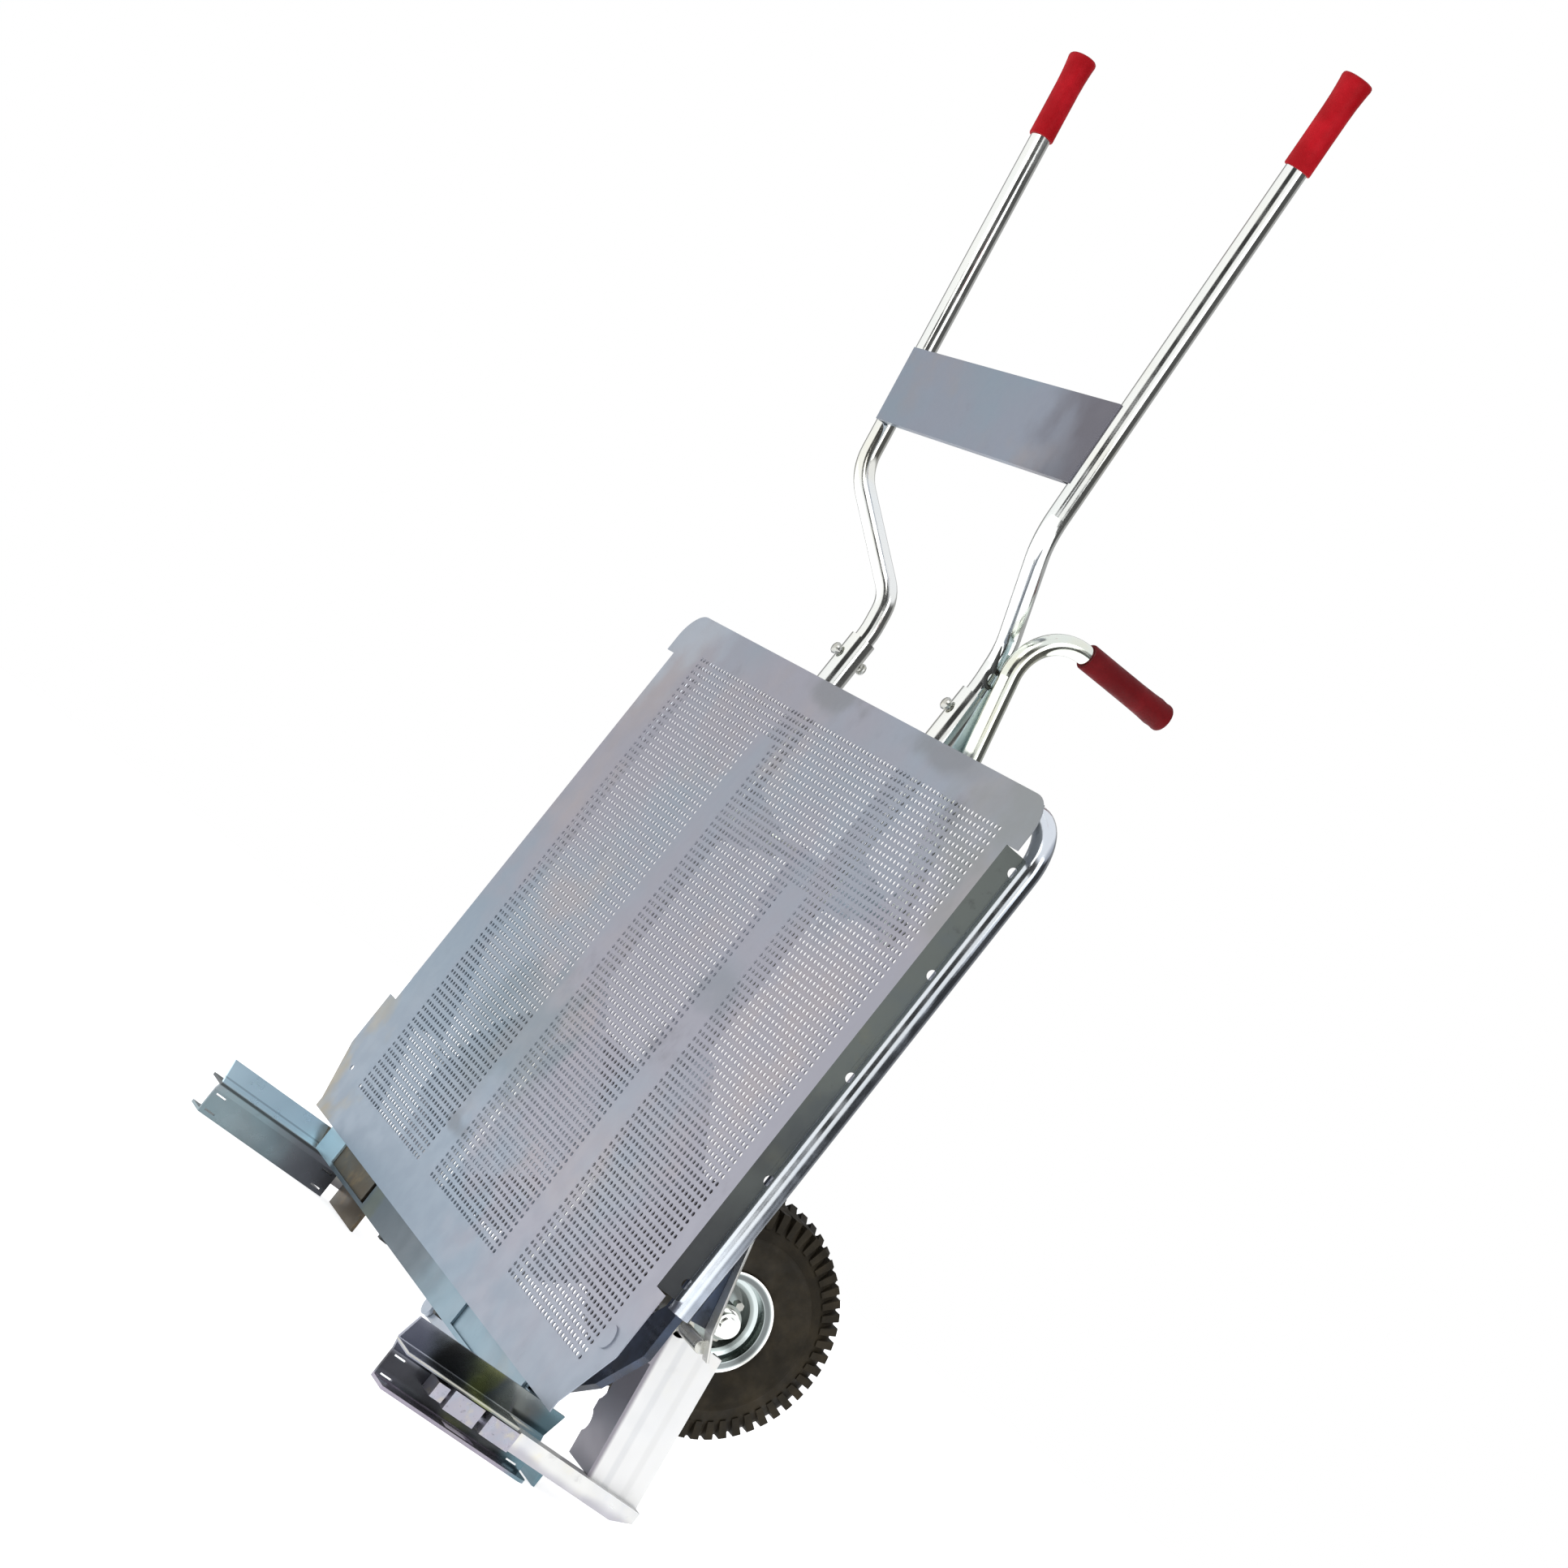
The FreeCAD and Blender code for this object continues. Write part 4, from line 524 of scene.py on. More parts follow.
finishes = {
    # plating: cloud scale, cool amount, warm amount, smudges, polish
    "panelZinc": {
        "base": (0.325, 0.325, 0.375), "cool": (0.29, 0.34, 0.40), "warm": (0.40, 0.35, 0.345),
        "dark": (0.13, 0.13, 0.14),
        "plating": (3.0, 0.8, 0.6, 0.35, 0.42), "metal": 0.55,
        "zones": [
            # painted reflection: the lower left below the crease is tinted blue, standing in for the
            # different light on a forward-bent lower sheet
            {"along": (-0.5, 0, -0.866), "start": -0.30, "end": -0.08, "tone": (0.24, 0.32, 0.39),
             "amount": 0.7, "wobble": 0.06},
            {"along": (0.7071, 0, 0.7071), "start": 0.82, "end": 0.98, "tone": (0.25, 0.265, 0.26),
             "amount": 0.75, "wobble": 0.05},
            {"along": (-0.7071, 0, 0.7071), "start": 0.84, "end": 1.0, "tone": (0.42, 0.49, 0.56),
             "amount": 0.6, "wobble": 0.05},
            {"along": (-0.7071, 0, -0.7071), "start": 0.20, "end": 0.31, "tone": (0.40, 0.33, 0.20),
             "amount": 0.6, "wobble": 0.07},
            {"spot": (-0.148, 0.344), "size": (0.20, 0.12), "at": 0, "half": 1.0,
             "tone": (0.17, 0.235, 0.275), "amount": 0.6, "wobble": 0.25},
            {"spot": (0.202, 0.545), "size": (0.075, 0.050), "at": 0, "half": 1.0,
             "tone": (0.20, 0.23, 0.26), "amount": 0.5, "wobble": 0.3},
            {"spot": (-0.118, 0.207), "size": (0.045, 0.020), "at": 0, "half": 1.0,
             "tone": (0.12, 0.13, 0.14), "amount": 0.5, "wobble": 0.4},
            {"spot": (-0.032, 0.905), "size": (0.10, 0.03), "at": 0, "half": 1.0,
             "tone": (0.20, 0.21, 0.22), "amount": 0.6, "wobble": 0.3},
            {"spot": (0.274, 0.898), "size": (0.12, 0.03), "at": 0, "half": 1.0, "tone": (0.20, 0.21, 0.22),
             "amount": 0.6, "wobble": 0.3},
        ],
    },
    # painted shade: the side flanges' outer faces are nearly black, darker still towards the bottom, standing
    # in for the shade they lie in
    "flangePaintedShade": {
        "base": (0.115, 0.13, 0.12), "cool": (0.10, 0.12, 0.13), "warm": (0.14, 0.145, 0.11),
        "dark": (0.04, 0.04, 0.04),
        "plating": (14.0, 0.5, 0.6, 0.5, 0.5), "metal": 0.4,
        "zones": [{"along": (0, 0, -1), "start": -0.62, "end": -0.28, "tone": (0.033, 0.035, 0.038),
                   "amount": 0.95, "wobble": 0.05}],
    },
    "brightTube": {
        "base": (0.86, 0.87, 0.84), "cool": (0.78, 0.83, 0.84), "warm": (0.84, 0.81, 0.68),
        "dark": (0.45, 0.45, 0.43),
        "plating": (5.0, 0.4, 0.5, 0.08, 0.12), "metal": 1.0,
    },
    "sideTubeAndPaintedShade": {
        "base": (0.72, 0.76, 0.80), "cool": (0.62, 0.70, 0.80), "warm": (0.76, 0.74, 0.64),
        "dark": (0.25, 0.26, 0.28),
        "plating": (6.0, 0.6, 0.4, 0.2, 0.14), "metal": 1.0,
        # painted shade: the tube's rear-facing side is darkened blue-grey for the dark reflection it would
        # show there
        "zones": [{"along": (0.3, 0.954, 0), "start": 0.1150, "end": 0.1200, "tone": (0.20, 0.23, 0.29),
                   "amount": 0.65}],
    },
    "leverChrome": {
        "base": (0.80, 0.84, 0.76), "cool": (0.66, 0.78, 0.76), "warm": (0.80, 0.76, 0.58),
        "dark": (0.35, 0.36, 0.33),
        "plating": (8.0, 0.6, 0.6, 0.1, 0.13), "metal": 1.0,
    },
    "guideZinc": {
        "base": (0.44, 0.54, 0.55), "cool": (0.35, 0.50, 0.54), "warm": (0.44, 0.46, 0.37),
        "dark": (0.14, 0.17, 0.17),
        "plating": (18.0, 0.6, 0.4, 0.4, 0.34), "metal": 0.7,
    },
    "plateZinc": {
        "base": (0.40, 0.44, 0.50), "cool": (0.33, 0.43, 0.50), "warm": (0.44, 0.42, 0.36),
        "dark": (0.15, 0.15, 0.16),
        "plating": (8.0, 0.6, 0.5, 0.3, 0.3), "metal": 0.85,
    },
    "beamZinc": {
        "base": (0.25, 0.31, 0.355), "cool": (0.205, 0.31, 0.37), "warm": (0.275, 0.28, 0.24),
        "dark": (0.08, 0.09, 0.10),
        "plating": (6.0, 0.7, 0.5, 0.3, 0.34), "metal": 0.75,
        "zones": [
            {"along": (-1, 0, 0), "start": -0.16, "end": 0.02, "tone": (0.085, 0.105, 0.12), "amount": 0.85,
             "wobble": 0.02},
            {"along": (1, 0, 0), "at": -0.173, "half": 0.030, "tone": (0.12, 0.14, 0.115), "amount": 0.8,
             "wobble": 0.006},
            {"along": (-1, 0, 0), "start": 0.340, "end": 0.350, "tone": (0.46, 0.62, 0.70), "amount": 0.9},
        ],
    },
    "crossZinc": {
        "base": (0.275, 0.305, 0.37), "cool": (0.24, 0.32, 0.385), "warm": (0.325, 0.30, 0.31),
        "dark": (0.12, 0.12, 0.14),
        "plating": (5.0, 0.6, 0.6, 0.2, 0.34), "metal": 0.7,
        "zones": [{"along": (1, 0, 0), "start": 0.10, "end": 0.25, "tone": (0.125, 0.115, 0.135),
                   "amount": 0.85, "wobble": 0.03}],
    },
    "armBrown": {
        "base": (0.11, 0.085, 0.055), "cool": (0.10, 0.10, 0.09), "warm": (0.22, 0.15, 0.075),
        "dark": (0.03, 0.025, 0.02),
        "plating": (22.0, 0.5, 0.7, 0.5, 0.38), "metal": 0.7,
    },
    "leftJawZinc": {
        "base": (0.23, 0.29, 0.31), "cool": (0.20, 0.30, 0.34), "warm": (0.28, 0.25, 0.26),
        "dark": (0.08, 0.08, 0.08),
        "plating": (9.0, 0.5, 0.4, 0.25, 0.3), "metal": 0.8,
        "zones": [
            {"along": (0, 1, 0), "start": -0.20, "end": -0.055, "tone": (0.07, 0.072, 0.085),
             "amount": 0.95, "wobble": 0.012},
            # painted highlight: the lip's upward face is pale cyan-white, as if lit from above
            {"along": (0, 0, 1), "start": 0.0470, "end": 0.0500, "tone": (0.64, 0.82, 0.90)},
            # painted shade: a darker line along the lip's fold
            {"along": (0, 0, 1), "at": 0.0565, "half": 0.0016, "tone": (0.30, 0.42, 0.48), "amount": 0.7},
            # painted shade: a near-black band in the valley along the ridge
            {"along": (0, 0, 1), "at": 0.0465, "half": 0.0035, "tone": (0.02, 0.022, 0.022), "amount": 0.85},
        ],
    },
    "rightJawZinc": {
        "base": (0.15, 0.17, 0.18), "cool": (0.14, 0.18, 0.20), "warm": (0.20, 0.18, 0.12),
        "dark": (0.04, 0.04, 0.04),
        "plating": (14.0, 0.5, 0.5, 0.4, 0.22), "metal": 0.85,
        "zones": [
            # painted reflections: bands along the mirror-like outer lip, lavender-grey at the front, then
            # near black, olive and grey
            {"along": (0, -1, 0), "start": 0.185, "end": 0.215, "tone": (0.27, 0.28, 0.33), "amount": 0.9,
             "wobble": 0.01},
            {"along": (0, 1, 0), "at": -0.165, "half": 0.030, "tone": (0.045, 0.045, 0.045), "amount": 0.85,
             "wobble": 0.008},
            {"along": (0, 1, 0), "at": -0.128, "half": 0.022, "tone": (0.21, 0.23, 0.10), "amount": 0.8,
             "wobble": 0.008},
            {"along": (0, 1, 0), "at": -0.085, "half": 0.024, "tone": (0.24, 0.26, 0.25), "amount": 0.85,
             "wobble": 0.008},
            # painted shade: the channel's inside is near black
            {"along": (0, 0, 1), "at": 0.022, "half": 0.022, "tone": (0.022, 0.022, 0.026), "amount": 0.92},
            # painted highlight: a thin pale line along the fold
            {"along": (0, 0, 1), "at": 0.0465, "half": 0.0014, "tone": (0.50, 0.49, 0.42), "amount": 0.7},
            {"along": (0, 0, -1), "start": -0.0056, "end": -0.0044, "tone": (0.34, 0.31, 0.37),
             "amount": 0.9},
            # painted reflection: the rear end is tinted blue
            {"along": (0, 1, 0), "start": -0.066, "end": -0.040, "tone": (0.13, 0.22, 0.26), "amount": 0.9,
             "wobble": 0.006},
        ],
    },
    "blockZinc": {
        "base": (0.40, 0.39, 0.45), "cool": (0.36, 0.40, 0.47), "warm": (0.52, 0.48, 0.38),
        "dark": (0.05, 0.05, 0.05),
        "plating": (55.0, 0.6, 0.6, 0.8, 0.3), "metal": 0.7,
    },
    "paleZinc": {
        "base": (0.62, 0.62, 0.59), "cool": (0.54, 0.57, 0.60), "warm": (0.64, 0.61, 0.48),
        "dark": (0.20, 0.20, 0.19),
        "plating": (20.0, 0.4, 0.5, 0.3, 0.3), "metal": 0.7,
    },
    "barZinc": {
        "base": (0.78, 0.78, 0.76), "cool": (0.66, 0.68, 0.73), "warm": (0.78, 0.74, 0.58),
        "dark": (0.22, 0.22, 0.22),
        "plating": (14.0, 0.6, 0.7, 0.3, 0.32), "metal": 0.6,
        "zones": [{"along": (0, 0, -1), "start": -0.034, "end": -0.022, "tone": (0.44, 0.43, 0.48),
                   "amount": 0.8, "wobble": 0.003}],
    },
    "uprightZinc": {
        "base": (0.84, 0.84, 0.83), "cool": (0.78, 0.79, 0.80), "warm": (0.83, 0.82, 0.76),
        "dark": (0.45, 0.45, 0.43),
        "plating": (9.0, 0.5, 0.6, 0.15, 0.35), "metal": 0.4,
        "zones": [
            # painted shade: a grey-purple band down the front edge, where the front flange lies in shade
            {"along": (0, 0.985, 0.174), "at": 0.0383, "half": 0.0085, "tone": (0.24, 0.22, 0.26),
             "amount": 0.9},
            {"along": (0, 0.985, 0.174), "at": 0.0640, "half": 0.0060, "tone": (0.66, 0.67, 0.68),
             "amount": 0.5},
            {"along": (0, 0.985, 0.174), "at": 0.0900, "half": 0.0060, "tone": (0.70, 0.70, 0.69),
             "amount": 0.4},
        ],
    },
    # painted shade: the gussets and the corner brace get a near-black navy tone for the shade they lie in,
    # and their blue patches stand in for highlights
    "plateInPaintedShade": {
        "base": (0.045, 0.055, 0.075), "cool": (0.08, 0.11, 0.18), "warm": (0.07, 0.06, 0.055),
        "dark": (0.012, 0.012, 0.016),
        "plating": (12.0, 0.7, 0.4, 0.6, 0.3), "metal": 0.75,
    },
    "rimChrome": {
        "base": (0.30, 0.34, 0.33), "cool": (0.24, 0.31, 0.32), "warm": (0.34, 0.34, 0.26),
        "dark": (0.08, 0.08, 0.08),
        "plating": (12.0, 0.5, 0.4, 0.2, 0.18), "metal": 1.0,
        "zones": [
            {"axle": axleLine, "start": 0.0425, "end": 0.0445, "tone": (0.56, 0.62, 0.61)},
            {"axle": axleLine, "at": 0.0535, "half": 0.0050, "tone": (0.10, 0.11, 0.11), "amount": 0.9},
            {"axle": axleLine, "start": 0.0570, "end": 0.0585, "tone": (0.92, 0.92, 0.88)},
            {"axle": axleLine, "at": 0.0350, "half": 0.0080, "tone": (0.13, 0.14, 0.13), "amount": 0.85},
            {"axle": axleLine, "at": 0.0, "half": 0.0240, "tone": (0.48, 0.46, 0.37), "amount": 0.9},
        ],
    },
    "boltZinc": {
        "base": (0.52, 0.52, 0.48), "cool": (0.40, 0.44, 0.46), "warm": (0.62, 0.58, 0.44),
        "dark": (0.08, 0.08, 0.08),
        "plating": (60.0, 0.5, 0.6, 0.5, 0.24), "metal": 0.9,
    },
    "blackSteel": {
        "base": (0.030, 0.032, 0.030), "cool": (0.05, 0.06, 0.06), "warm": (0.06, 0.05, 0.03),
        "dark": (0.01, 0.01, 0.01),
        "plating": (40.0, 0.5, 0.4, 0.4, 0.35), "metal": 0.5,
    },
}
metalOf = {name: platedFinish(name, look) for name, look in finishes.items()}


def rubberFinish(name, look):
    # tyre rubber: brown-black with dusty patches and a fine moulded grain
    material, tree, skin = newMaterial(name)
    where = tree.nodes.new("ShaderNodeTexCoord").outputs["Object"]
    dust = rangeOf(tree, noiseAt(tree, where, 22, 5, 0.6), 0.35, 0.75, 0.0, look["dust"])
    tone = mixTones(tree, dust, (*look["base"], 1), (*look["dusty"], 1))
    tree.links.new(tone, skin.inputs["Base Color"])
    rough = rangeOf(tree, noiseAt(tree, where, 60, 3), 0.3, 0.7, look["rough"] - 0.08, look["rough"] + 0.1)
    tree.links.new(rough, skin.inputs["Roughness"])
    addBump(tree, skin, noiseAt(tree, where, look["grainScale"], 3, 0.6), look["grain"], 0.0006)
    skin.inputs["Specular IOR Level"].default_value = look["gloss"]
    return material


tyreRubber = rubberFinish("tyreRubber", {
    "base": (0.014, 0.011, 0.006), "dusty": (0.046, 0.035, 0.019), "dust": 0.75, "rough": 0.62,
    "grain": 0.15, "grainScale": 700, "gloss": 0.20,
})
gripPlastic = rubberFinish("gripPlastic", {
    "base": (0.30, 0.001, 0.005), "dusty": (0.54, 0.008, 0.018), "dust": 0.6, "rough": 0.5,
    "grain": 0.8, "grainScale": 300, "gloss": 0.12,
})
leverPlastic = rubberFinish("leverPlastic", {
    "base": (0.11, 0.002, 0.004), "dusty": (0.22, 0.005, 0.009), "dust": 0.6, "rough": 0.5,
    "grain": 0.8, "grainScale": 300, "gloss": 0.12,
})
print("finishes mixed")


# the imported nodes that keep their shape

nodeFinish = {
    "panelZinc": ["panel_plug"],
    "brightTube": ["top_tube", "handle", "back_rail", "axle", "axle_stops"],
    "sideTubeAndPaintedShade": ["side_tube"],
    "leverChrome": ["lever_tube", "lever_shaft"],
    "guideZinc": ["lever_guide"],
    "plateZinc": ["pull_rod", "crank", "drive_arm", "axle_bracket", "shaft_bearing", "tie", "axle_spacers",
                  "crank_pivot"],
    "beamZinc": ["cross_beam", "jaw_arm_right"],
    "crossZinc": ["cross_plate"],
    "armBrown": ["jaw_arm_left", "stop_plate_left"],
    "leftJawZinc": ["jaw_left"],
    "rightJawZinc": ["jaw_right", "stop_plate_right"],
    "blockZinc": ["jaw_blocks"],
    "barZinc": ["jaw_bar"],
    # the corner brace takes the near-black painted-shade finish
    "plateInPaintedShade": ["corner_brace"],
    "rimChrome": ["rim", "wheel_bearings"],
    "boltZinc": ["rim_bolts", "guide_bush"],
    "blackSteel": ["limit_bolts"],
}


def dressNodes():
    finishOf = {}
    for finish, names in nodeFinish.items():
        for name in names:
            for full in (name, name + "_left", name + "_right"):
                if full in nodes:
                    finishOf[full] = finish
    for full, finish in finishOf.items():
        nodes[full].data.materials.clear()
        nodes[full].data.materials.append(metalOf[finish])
    print("nodes dressed:", len(finishOf), "left:", sorted(set(nodes) - set(finishOf)))


dressNodes()


# the perforated sheet

perforation = {
    "pitch": 0.010,
    "hole": 0.0031,
    "sheet": 0.0015,
    "low": 0.142,          # lower edge of the first row's cells
    "rows": 72,
    # name, left edge, columns
    "fields": [("panelHolesLeft", -0.433, 29), ("panelHolesMiddle", -0.093, 27),
               ("panelHolesRight", 0.227, 26)],
    # strips between the fields that have holes only above a height: name, left edge, columns, lower edge
    "strips": [("fillA", -0.143, 5, 0.812), ("fillB", 0.177, 5, 0.682)],
}


def perforatedField(name, left, columns, low, rows):
    pitch = perforation["pitch"]
    clearSelection()
    middle = (left + pitch / 2, frontY, low + pitch / 2)
    upright = (math.pi / 2, 0, 0)
    bpy.ops.mesh.primitive_grid_add(x_subdivisions=2, y_subdivisions=2, size=pitch, location=middle,
                                    rotation=upright)
    field = bpy.context.object
    field.name = field.data.name = name
    settle(field)
    openMesh(field)
    pickVerts(lambda at: (at - Vector(middle)).length < pitch * 0.1)
    bpy.ops.mesh.delete(type="VERT")
    bpy.ops.mesh.primitive_circle_add(vertices=8, radius=perforation["hole"], fill_type="NOTHING",
                                      location=middle, rotation=upright)
    bpy.ops.mesh.select_all(action="SELECT")
    bpy.ops.mesh.bridge_edge_loops()
    bpy.ops.mesh.select_all(action="SELECT")
    cage = bmesh.from_edit_mesh(field.data)
    cage.normal_update()
    if sum(face.normal.y for face in cage.faces) > 0:
        bpy.ops.mesh.flip_normals()
    closeMesh()
    addModifier(field, "ARRAY", count=columns, use_relative_offset=False, use_constant_offset=True,
                constant_offset_displace=(pitch, 0, 0), use_merge_vertices=True, merge_threshold=0.0001)
    applyModifiers(field)
    addModifier(field, "ARRAY", count=rows, use_relative_offset=False, use_constant_offset=True,
                constant_offset_displace=(0, 0, pitch), use_merge_vertices=True, merge_threshold=0.0001)
    addModifier(field, "SOLIDIFY", thickness=perforation["sheet"], offset=-1)
    applyModifiers(field)
    return field


def fieldSpan(left, columns, low, rows):
    pitch = perforation["pitch"]
    return left, left + columns * pitch, low, low + rows * pitch


def buildPanel():
    low, rows, pitch = perforation["low"], perforation["rows"], perforation["pitch"]
    top = low + rows * pitch
    spans = []
    fields = []
    fills = []
    for name, left, columns in perforation["fields"]:
        fields.append(perforatedField(name, left, columns, low, rows))
        spans.append(fieldSpan(left, columns, low, rows))
    for name, left, columns, start in perforation["strips"]:
        fillRows = round((top - start) / pitch)
        fills.append(perforatedField(name, left, columns, start, fillRows))
        spans.append(fieldSpan(left, columns, start, fillRows))
    fields[1] = joinPieces("panelHolesMiddle", [fields[1], *fills])
    sheet = freeCopy("panel", "panelSheet")
    for x0, x1, z0, z1 in spans:
        cutter = boxBetween("cutter", (x0, frontY - 0.01, z0), (x1, frontY + 0.01, z1))
        addModifier(sheet, "BOOLEAN", operation="DIFFERENCE", object=cutter, solver="EXACT")
        applyModifiers(sheet)
        bpy.data.objects.remove(cutter)
    for field in fields:
        finishPiece(field, metalOf["panelZinc"], "panel", "frame")
    finishPiece(sheet, metalOf["panelZinc"], "panel", "frame", "panel")
    # the side flanges' outer faces take the dark painted-shade finish
    sheet.data.materials.append(metalOf["flangePaintedShade"])
    for face in sheet.data.polygons:
        if abs(face.normal.x) > 0.9 and face.center.y > frontY + 0.004:
            face.material_index = 1
    print("perforated panel built,", sum(len(f.data.polygons) for f in fields), "faces in its fields")


buildPanel()


# gussets with their bright struts, uprights and guide pins
# sizes are in the cart's own measure, before the shift to its middle

cartShift = Vector((0, -0.0823131568, 0))

gussetShape = {
    "outer": 0.506, "thick": 0.004,
    "corners": [(0.032, 0.440), (0.037, 0.430), (0.0845, 0.250), (0.032, 0.244)],
    "strut": [(0.0375, 0.428), (0.0850, 0.250), (0.1050, 0.223)],
    "strutWide": [0.006, 0.019, 0.013],
    "strutThick": 0.003, "lip": 0.0035, "groove": 0.0014,
    "pinIn": 0.376, "pinOut": 0.509, "pinRadius": 0.008, "pin": (0.093, 0.232),
}


def placeCorners(piece, spots):
    # moves the corners of a flat piece in their order to given places
    openMesh(piece)
    cage = bmesh.from_edit_mesh(piece.data)
    cage.verts.ensure_lookup_table()
    for corner, spot in zip(cage.verts, spots):
        corner.co = spot
    bmesh.update_edit_mesh(piece.data)


def flatPiece(name, spots):
    # a plane whose four corners are set in turn round its outline
    clearSelection()
    bpy.ops.mesh.primitive_plane_add(size=1, location=(0, 0, 0))
    piece = bpy.context.object
    piece.name = piece.data.name = name
    placeCorners(piece, [spots[0], spots[1], spots[3], spots[2]])
    closeMesh()
    return piece


def buildGusset():
    g = gussetShape
    plate = flatPiece("gussetRight", [(g["outer"] - g["thick"], y, z) for y, z in g["corners"]])
    addModifier(plate, "SOLIDIFY", thickness=g["thick"], offset=-1)
    applyModifiers(plate)
    tidyMesh(plate)
    plate.location = cartShift
    settle(plate)
    parts = []
    for (low, high) in ((0, 1), (1, 2)):
        (y0, z0), (y1, z1) = g["strut"][low], g["strut"][high]
        w0, w1 = g["strutWide"][low], g["strutWide"][high]
        x = g["outer"]
        parts.append(flatPiece("strut", [(x, y0, z0), (x + w0, y0, z0), (x + w1, y1, z1), (x, y1, z1)]))
    strut = joinPieces("gussetStrutRight", parts)
    tidyMesh(strut)
    openMesh(strut)
    bpy.ops.mesh.select_all(action="SELECT")
    bpy.ops.mesh.inset(thickness=g["lip"] * 0.6, use_boundary=True)
    closeMesh()
    addModifier(strut, "SOLIDIFY", thickness=g["strutThick"], offset=0)
    applyModifiers(strut)
    tidyMesh(strut)
    openMesh(strut)
    rim = g["outer"] + g["lip"] * 0.45
    cage = bmesh.from_edit_mesh(strut.data)
    for face in cage.faces:
        face.select = False
    for corner in cage.verts:
        corner.select = False
    for face in cage.faces:
        front = face.normal.y < -0.5
        nearest = min(corner.co.x for corner in face.verts)
        furthest = max(corner.co.x for corner in face.verts)
        inner = nearest > rim and furthest - nearest > 0.001
        face.select = front and inner and furthest < g["outer"] + max(g["strutWide"]) - g["lip"] * 0.4
    bmesh.update_edit_mesh(strut.data)
    bpy.ops.transform.translate(value=(0, g["groove"], -g["groove"] * 0.3))
    closeMesh()
    addModifier(strut, "BEVEL", width=0.0006, segments=2, limit_method="ANGLE", angle_limit=math.radians(30))
    applyModifiers(strut)
    strut.location = cartShift
    settle(strut)
    return plate, strut


def buildGuidePin():
    g = gussetShape
    clearSelection()
    long = g["pinOut"] - g["pinIn"]
    bpy.ops.mesh.primitive_cylinder_add(vertices=40, radius=g["pinRadius"], depth=long,
                                        location=(0, 0, long / 2))
    pin = bpy.context.object
    settle(pin)
    pin.name = pin.data.name = "guidePinRight"
    addModifier(pin, "BEVEL", width=0.001, segments=2, limit_method="ANGLE", angle_limit=math.radians(50))
    applyModifiers(pin)
    smoothByAngle(pin, 35)
    alignTo(pin, Vector((g["pinIn"], *g["pin"])) + cartShift, (1, 0, 0))
    return pin


uprightShape = {"top": 0.219, "near": 0.0007, "higher": 0.008}


def raiseUpright(side):
    # the upright's sheet reaches a little higher than its bracket's foot
    u = uprightShape
    upright = freeCopy("upright_" + side, "upright" + side.capitalize() + "Sheet")
    openMesh(upright)
    pickVerts(lambda at: abs(at.z - u["top"]) < u["near"])
    bpy.ops.transform.translate(value=(0, 0, u["higher"]))
    closeMesh()
    finishPiece(upright, metalOf["uprightZinc"], "plate", "jaw_" + side, "upright_" + side)


def dressRearSupports():
    plate, strut = buildGusset()
    pin = buildGuidePin()
    pieces = {"right": (plate, strut, pin)}
    pieces["left"] = tuple(mirrorPiece(piece, piece.name.replace("Right", "Left")) for piece in (plate,
                                                                                                 strut, pin))
    for side, (sheet, brace, rod) in pieces.items():
        # the gusset plates take the near-black painted-shade finish
        finishPiece(sheet, metalOf["plateInPaintedShade"], "plate", "frame", "gusset_" + side)
        finishPiece(brace, metalOf["paleZinc"], "plate", "frame")
        finishPiece(rod, metalOf["boltZinc"], "shaft", "frame", "guide_pin_" + side)
        raiseUpright(side)
    print("gussets, struts, guide pins and uprights built")


dressRearSupports()


# bolts that clamp the handles, and the catch on the lever's guide plate

boltShape = {
    "x": 0.165, "z": 0.9565, "front": 0.024, "rear": 0.059, "steps": 28,
    "head": [(0, 0.0002), (0, 0.0052), (0.0035, 0.0052), (0.0036, 0.0076), (0.0060, 0.0080), (0.0082, 0.0066),
             (0.0096, 0.0040), (0.0101, 0.0002)],
}


def dressClampBolts():
    b = boltShape
    heads = []
    for sign in (-1, 1):
        for y, heading in ((b["front"], (0, -1, 0)), (b["rear"], (0, 1, 0))):
            head = turned("clampHead", b["steps"], b["head"])
            smoothByAngle(head, 35)
            alignTo(head, Vector((sign * b["x"], y, b["z"])) + cartShift, heading)
            heads.append(head)
    bolts = joinPieces("clampBoltHeads", heads)
    finishPiece(bolts, metalOf["boltZinc"], "bolt", "frame", "clamp_bolts")
    print("clamp bolts built")


dressClampBolts()


catchShape = {
    "x": 0.2000, "ring": (0.028, 1.008), "ringRadius": 0.0082, "wire": 0.0027, "stretch": 1.25,
    "spikeLow": (0.023, 1.014), "spikeHigh": (0.0115, 1.044), "spikeWide": 0.0064,
}


